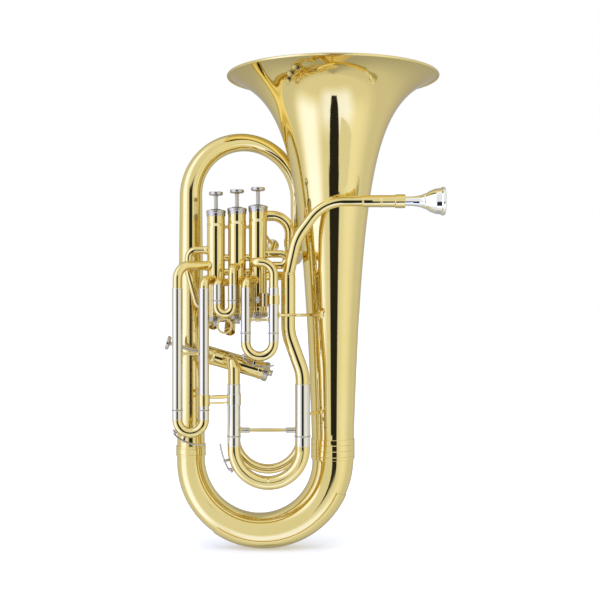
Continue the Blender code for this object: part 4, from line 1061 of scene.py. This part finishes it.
legs, y = SLIDES["first"][:2]
edge = legs[1] - SLIDES["first"][5][1] - GAP_FIT
wide, deep, tall, lyre_z = 0.0095, 0.0120, 0.0180, 0.340
middle = np.array([edge - wide / 2, y, lyre_z])
corner, _ = rounded([(-wide / 2, -deep / 2), (wide / 2, -deep / 2), (wide / 2, deep / 2),
                     (-wide / 2, deep / 2)], 0.0042, 7, closed=True)
hole_angle = np.arctan2(corner[:, 1], corner[:, 0])
hole = 0.0034 * np.stack([np.cos(hole_angle), np.sin(hole_angle)], 1)
levels = np.array([-tall / 2, -tall / 2 + 0.0003, -tall / 2 + 0.0009, tall / 2 - 0.0009,
                   tall / 2 - 0.0003, tall / 2])
shrink = np.array([0.90, 0.97, 1.0, 1.0, 0.97, 0.90])
outside = np.concatenate([corner[None] * shrink[:, None, None],
                          np.broadcast_to(levels[:, None, None], (6, len(corner), 1))], 2)
inside = np.concatenate([np.broadcast_to(hole, (6, *hole.shape)),
                         np.broadcast_to(levels[::-1, None, None], (6, len(corner), 1))], 2)
piece("lyre_block", grid_mesh(middle + np.concatenate([outside, inside]),
                              loop=True), "solder", stands_for=("lyre_holder",), flat=True)
head = wide / 2 + 0.0012
screw = [(0, head + 0.0060), (0.0030, head + 0.0060, 0.0010), (0.0043, head + 0.0046, 0.0008),
         (0.0043, head + 0.0010, 0.0006), (0.0028, head, 0.0004), (0.0013, head, 0.0002),
         (0.0013, 0.0027), (0, 0.0027)]
left_way = np.array([-1.0, 0, 0])
mesh = turned(screw, middle, left_way, around=96, closed=False, soft=0.0002)
cut_teeth(mesh, middle, left_way, head + 0.0012, head + 0.0046, 0.0039, 0.0002)
piece("lyre_thumb_screw", mesh, "nickel", "lyre_screw", stands_for=("lyre_screw",), flat=True)
band("lyre_clamp", (legs[1], y, lyre_z), SLIDES["first"][5][1], 0.012)


# %% Stays and braces
def flange(name, point, axis, radius, finish="brass"):
    """The soldered foot of a stay: a small disc that swells towards its rod."""
    profile = [(0, -0.0004), (radius, -0.0004, 0.0002), (radius, 0.0005, 0.0003),
               (radius * 0.62, 0.0009, 0.0008), (radius * 0.45, 0.0026, 0.0006), (0, 0.0026)]
    return piece(name, turned(profile, point, axis, around=40, closed=False, soft=0.0001),
                 finish)


def stay(name, start, end, radius, stands_for=(), collars=0.0, feet=True, finish="brass"):
    """A straight rod between two tubes, with a flange at each end and, on some, long collars."""
    start, end = np.asarray(start, float), np.asarray(end, float)
    way = (end - start) / np.linalg.norm(end - start)
    t = np.linspace(0, 1, 24)
    swell = radius * (1 + 0.10 * np.cos((t - 0.5) * 2 * np.pi) - 0.05)
    piece(name, bar(start + (end - start) * t[:, None], swell, 24), finish,
          stands_for=stands_for)
    for k, (point, aim) in enumerate(((start, way), (end, -way))):
        if feet:
            flange(f"{name}_foot_{k}", point, aim, radius * 2.0)
        if collars:
            wide = radius + 0.0011
            profile = [(radius - 0.0001, 0), (wide, 0), (wide, collars * 0.93),
                       (radius + 0.0004, collars), (radius - 0.0001, collars)]
            piece(f"{name}_collar_{k}", turned(profile, point, aim,
                                               around=40, soft=0.0003), "nickel")


def between_legs(kind, height, name, radius=0.0021, collars=0.0):
    """A brace across a slide's two sleeves."""
    legs, y, _, _, _, radii, _, _ = SLIDES[kind]
    stay(name, (legs[0] + radii[0] - 0.0002, y, height), (legs[1] - radii[1] + 0.0002, y, height),
         radius, collars=collars)


between_legs("third", 0.2700, "third_brace", 0.0020)
between_legs("first", 0.3140, "first_brace", 0.0020)
between_legs("main", 0.1690, "main_brace", 0.0024, collars=0.0125)
third, main = SLIDES["third"], SLIDES["main"]
for k, height in enumerate((0.2132, 0.2055)):
    a = np.array([third[0][1], third[1], height])
    b = np.array([main[0][0], main[1], height])
    way = (b - a) / np.linalg.norm(b - a)
    stay(f"slide_stay_rod_{k}", a + way * third[5][1], b - way * main[5][0], (0.0026, 0.0014)[k],
         stands_for=("slide_stay",) if k == 0 else (), feet=False)
for k, (kind, side) in enumerate((("third", 1), ("main", 0))):
    place = (SLIDES[kind][0][side], SLIDES[kind][1], 0.2094)
    band(f"slide_stay_band_{k}", place, SLIDES[kind][5][side], 0.015, ("brass", "sleeve")[k])

# The brace from the first slide's sleeve to the bell
brace_z, turn_x = 0.3200, 0.0520
legs, y = SLIDES["first"][:2]
bell_point, corner = np.array([BELL_X, 0, brace_z]), np.array([turn_x, y, brace_z])
way = (bell_point - corner) / np.linalg.norm(bell_point - corner)
bell_touch = bell_point - way * (horn_radius(brace_z) + 0.0003)
line, thick = drawn([((legs[1] + SLIDES["first"][5][1], y, brace_z), 0.0020, 0),
                     (corner, 0.0020, 0.010), (bell_touch, 0.0020, 0)], 12)
piece("bell_brace_rod", bar(line, thick, 24), "brass",
      stands_for=("bell_brace",))
flange("bell_brace_foot", bell_touch, -way, 0.0060)
flange("bell_brace_start", line[0], (1, 0, 0), 0.0042)
# The lower brace, from the main riser to the bell's foot
low = np.array([SLIDES["main"][0][1], SLIDES["main"][1], 0.1890])
bell_point = np.array([BELL_X, 0, 0.1890])
way = (bell_point - low) / np.linalg.norm(bell_point - low)
stay("lower_brace", low + way * SLIDES["main"][5][1], bell_point - way * horn_radius(0.189),
     0.0019)
# The leadpipe's post on the bell
touch = np.array([BELL_X - 0.004, PIPE_Y, PIPE_Z])
bell_point = np.array([BELL_X, 0, PIPE_Z])
way = (bell_point - touch) / np.linalg.norm(bell_point - touch)
stay("leadpipe_post", touch + way * 0.0062, bell_point - way * (horn_radius(PIPE_Z) - 0.0002),
     0.0030)

# The collar where the leadpipe meets the riser
ferrule("leadpipe_collar", (RISER_X, RISER_Y, 0.3712), (0, 0, 1), 0.0082, 0.0090,
        grooves=(-0.0022, 0.0022))
# Short braces between the casings, and the silver stop knob behind the first one
CASING_BRACE_Z = 0.4368
for k in (1, 2):
    one, two = on_valve(k + 1, CASING_BRACE_Z), on_valve(k, CASING_BRACE_Z)
    one[1] = two[1] = VALVE_1[1] - 0.001
    stay(f"casing_brace_{k}", one + (CASING_R, 0, 0), two - (CASING_R, 0, 0), 0.0016)
knob = np.array([0.0150, -0.0040, 0.4140])
profile = [(0, 0.0008), (0.0066, 0.0012, 0.001), (0.0074, 0.0022, 0.0004), (0.0086, 0.0022, 0.0006),
           (0.0090, 0, 0.0008), (0.0080, -0.0020, 0.0008), (0.0034, -0.0030, 0.001),
           (0.0026, -0.0060), (0, -0.0060)]
piece("stop_knob", turned(profile, knob, (0.30, -0.95, 0.05), around=72,
                          closed=False), "plate", flat=True)
piece("stop_knob_arm", bar(np.linspace(
    (0.0155, 0.0000, 0.4138), (0.0060, -0.0180, 0.4280), 8), 0.0019, 20), "brass")
print("pieces", len(made_pieces))
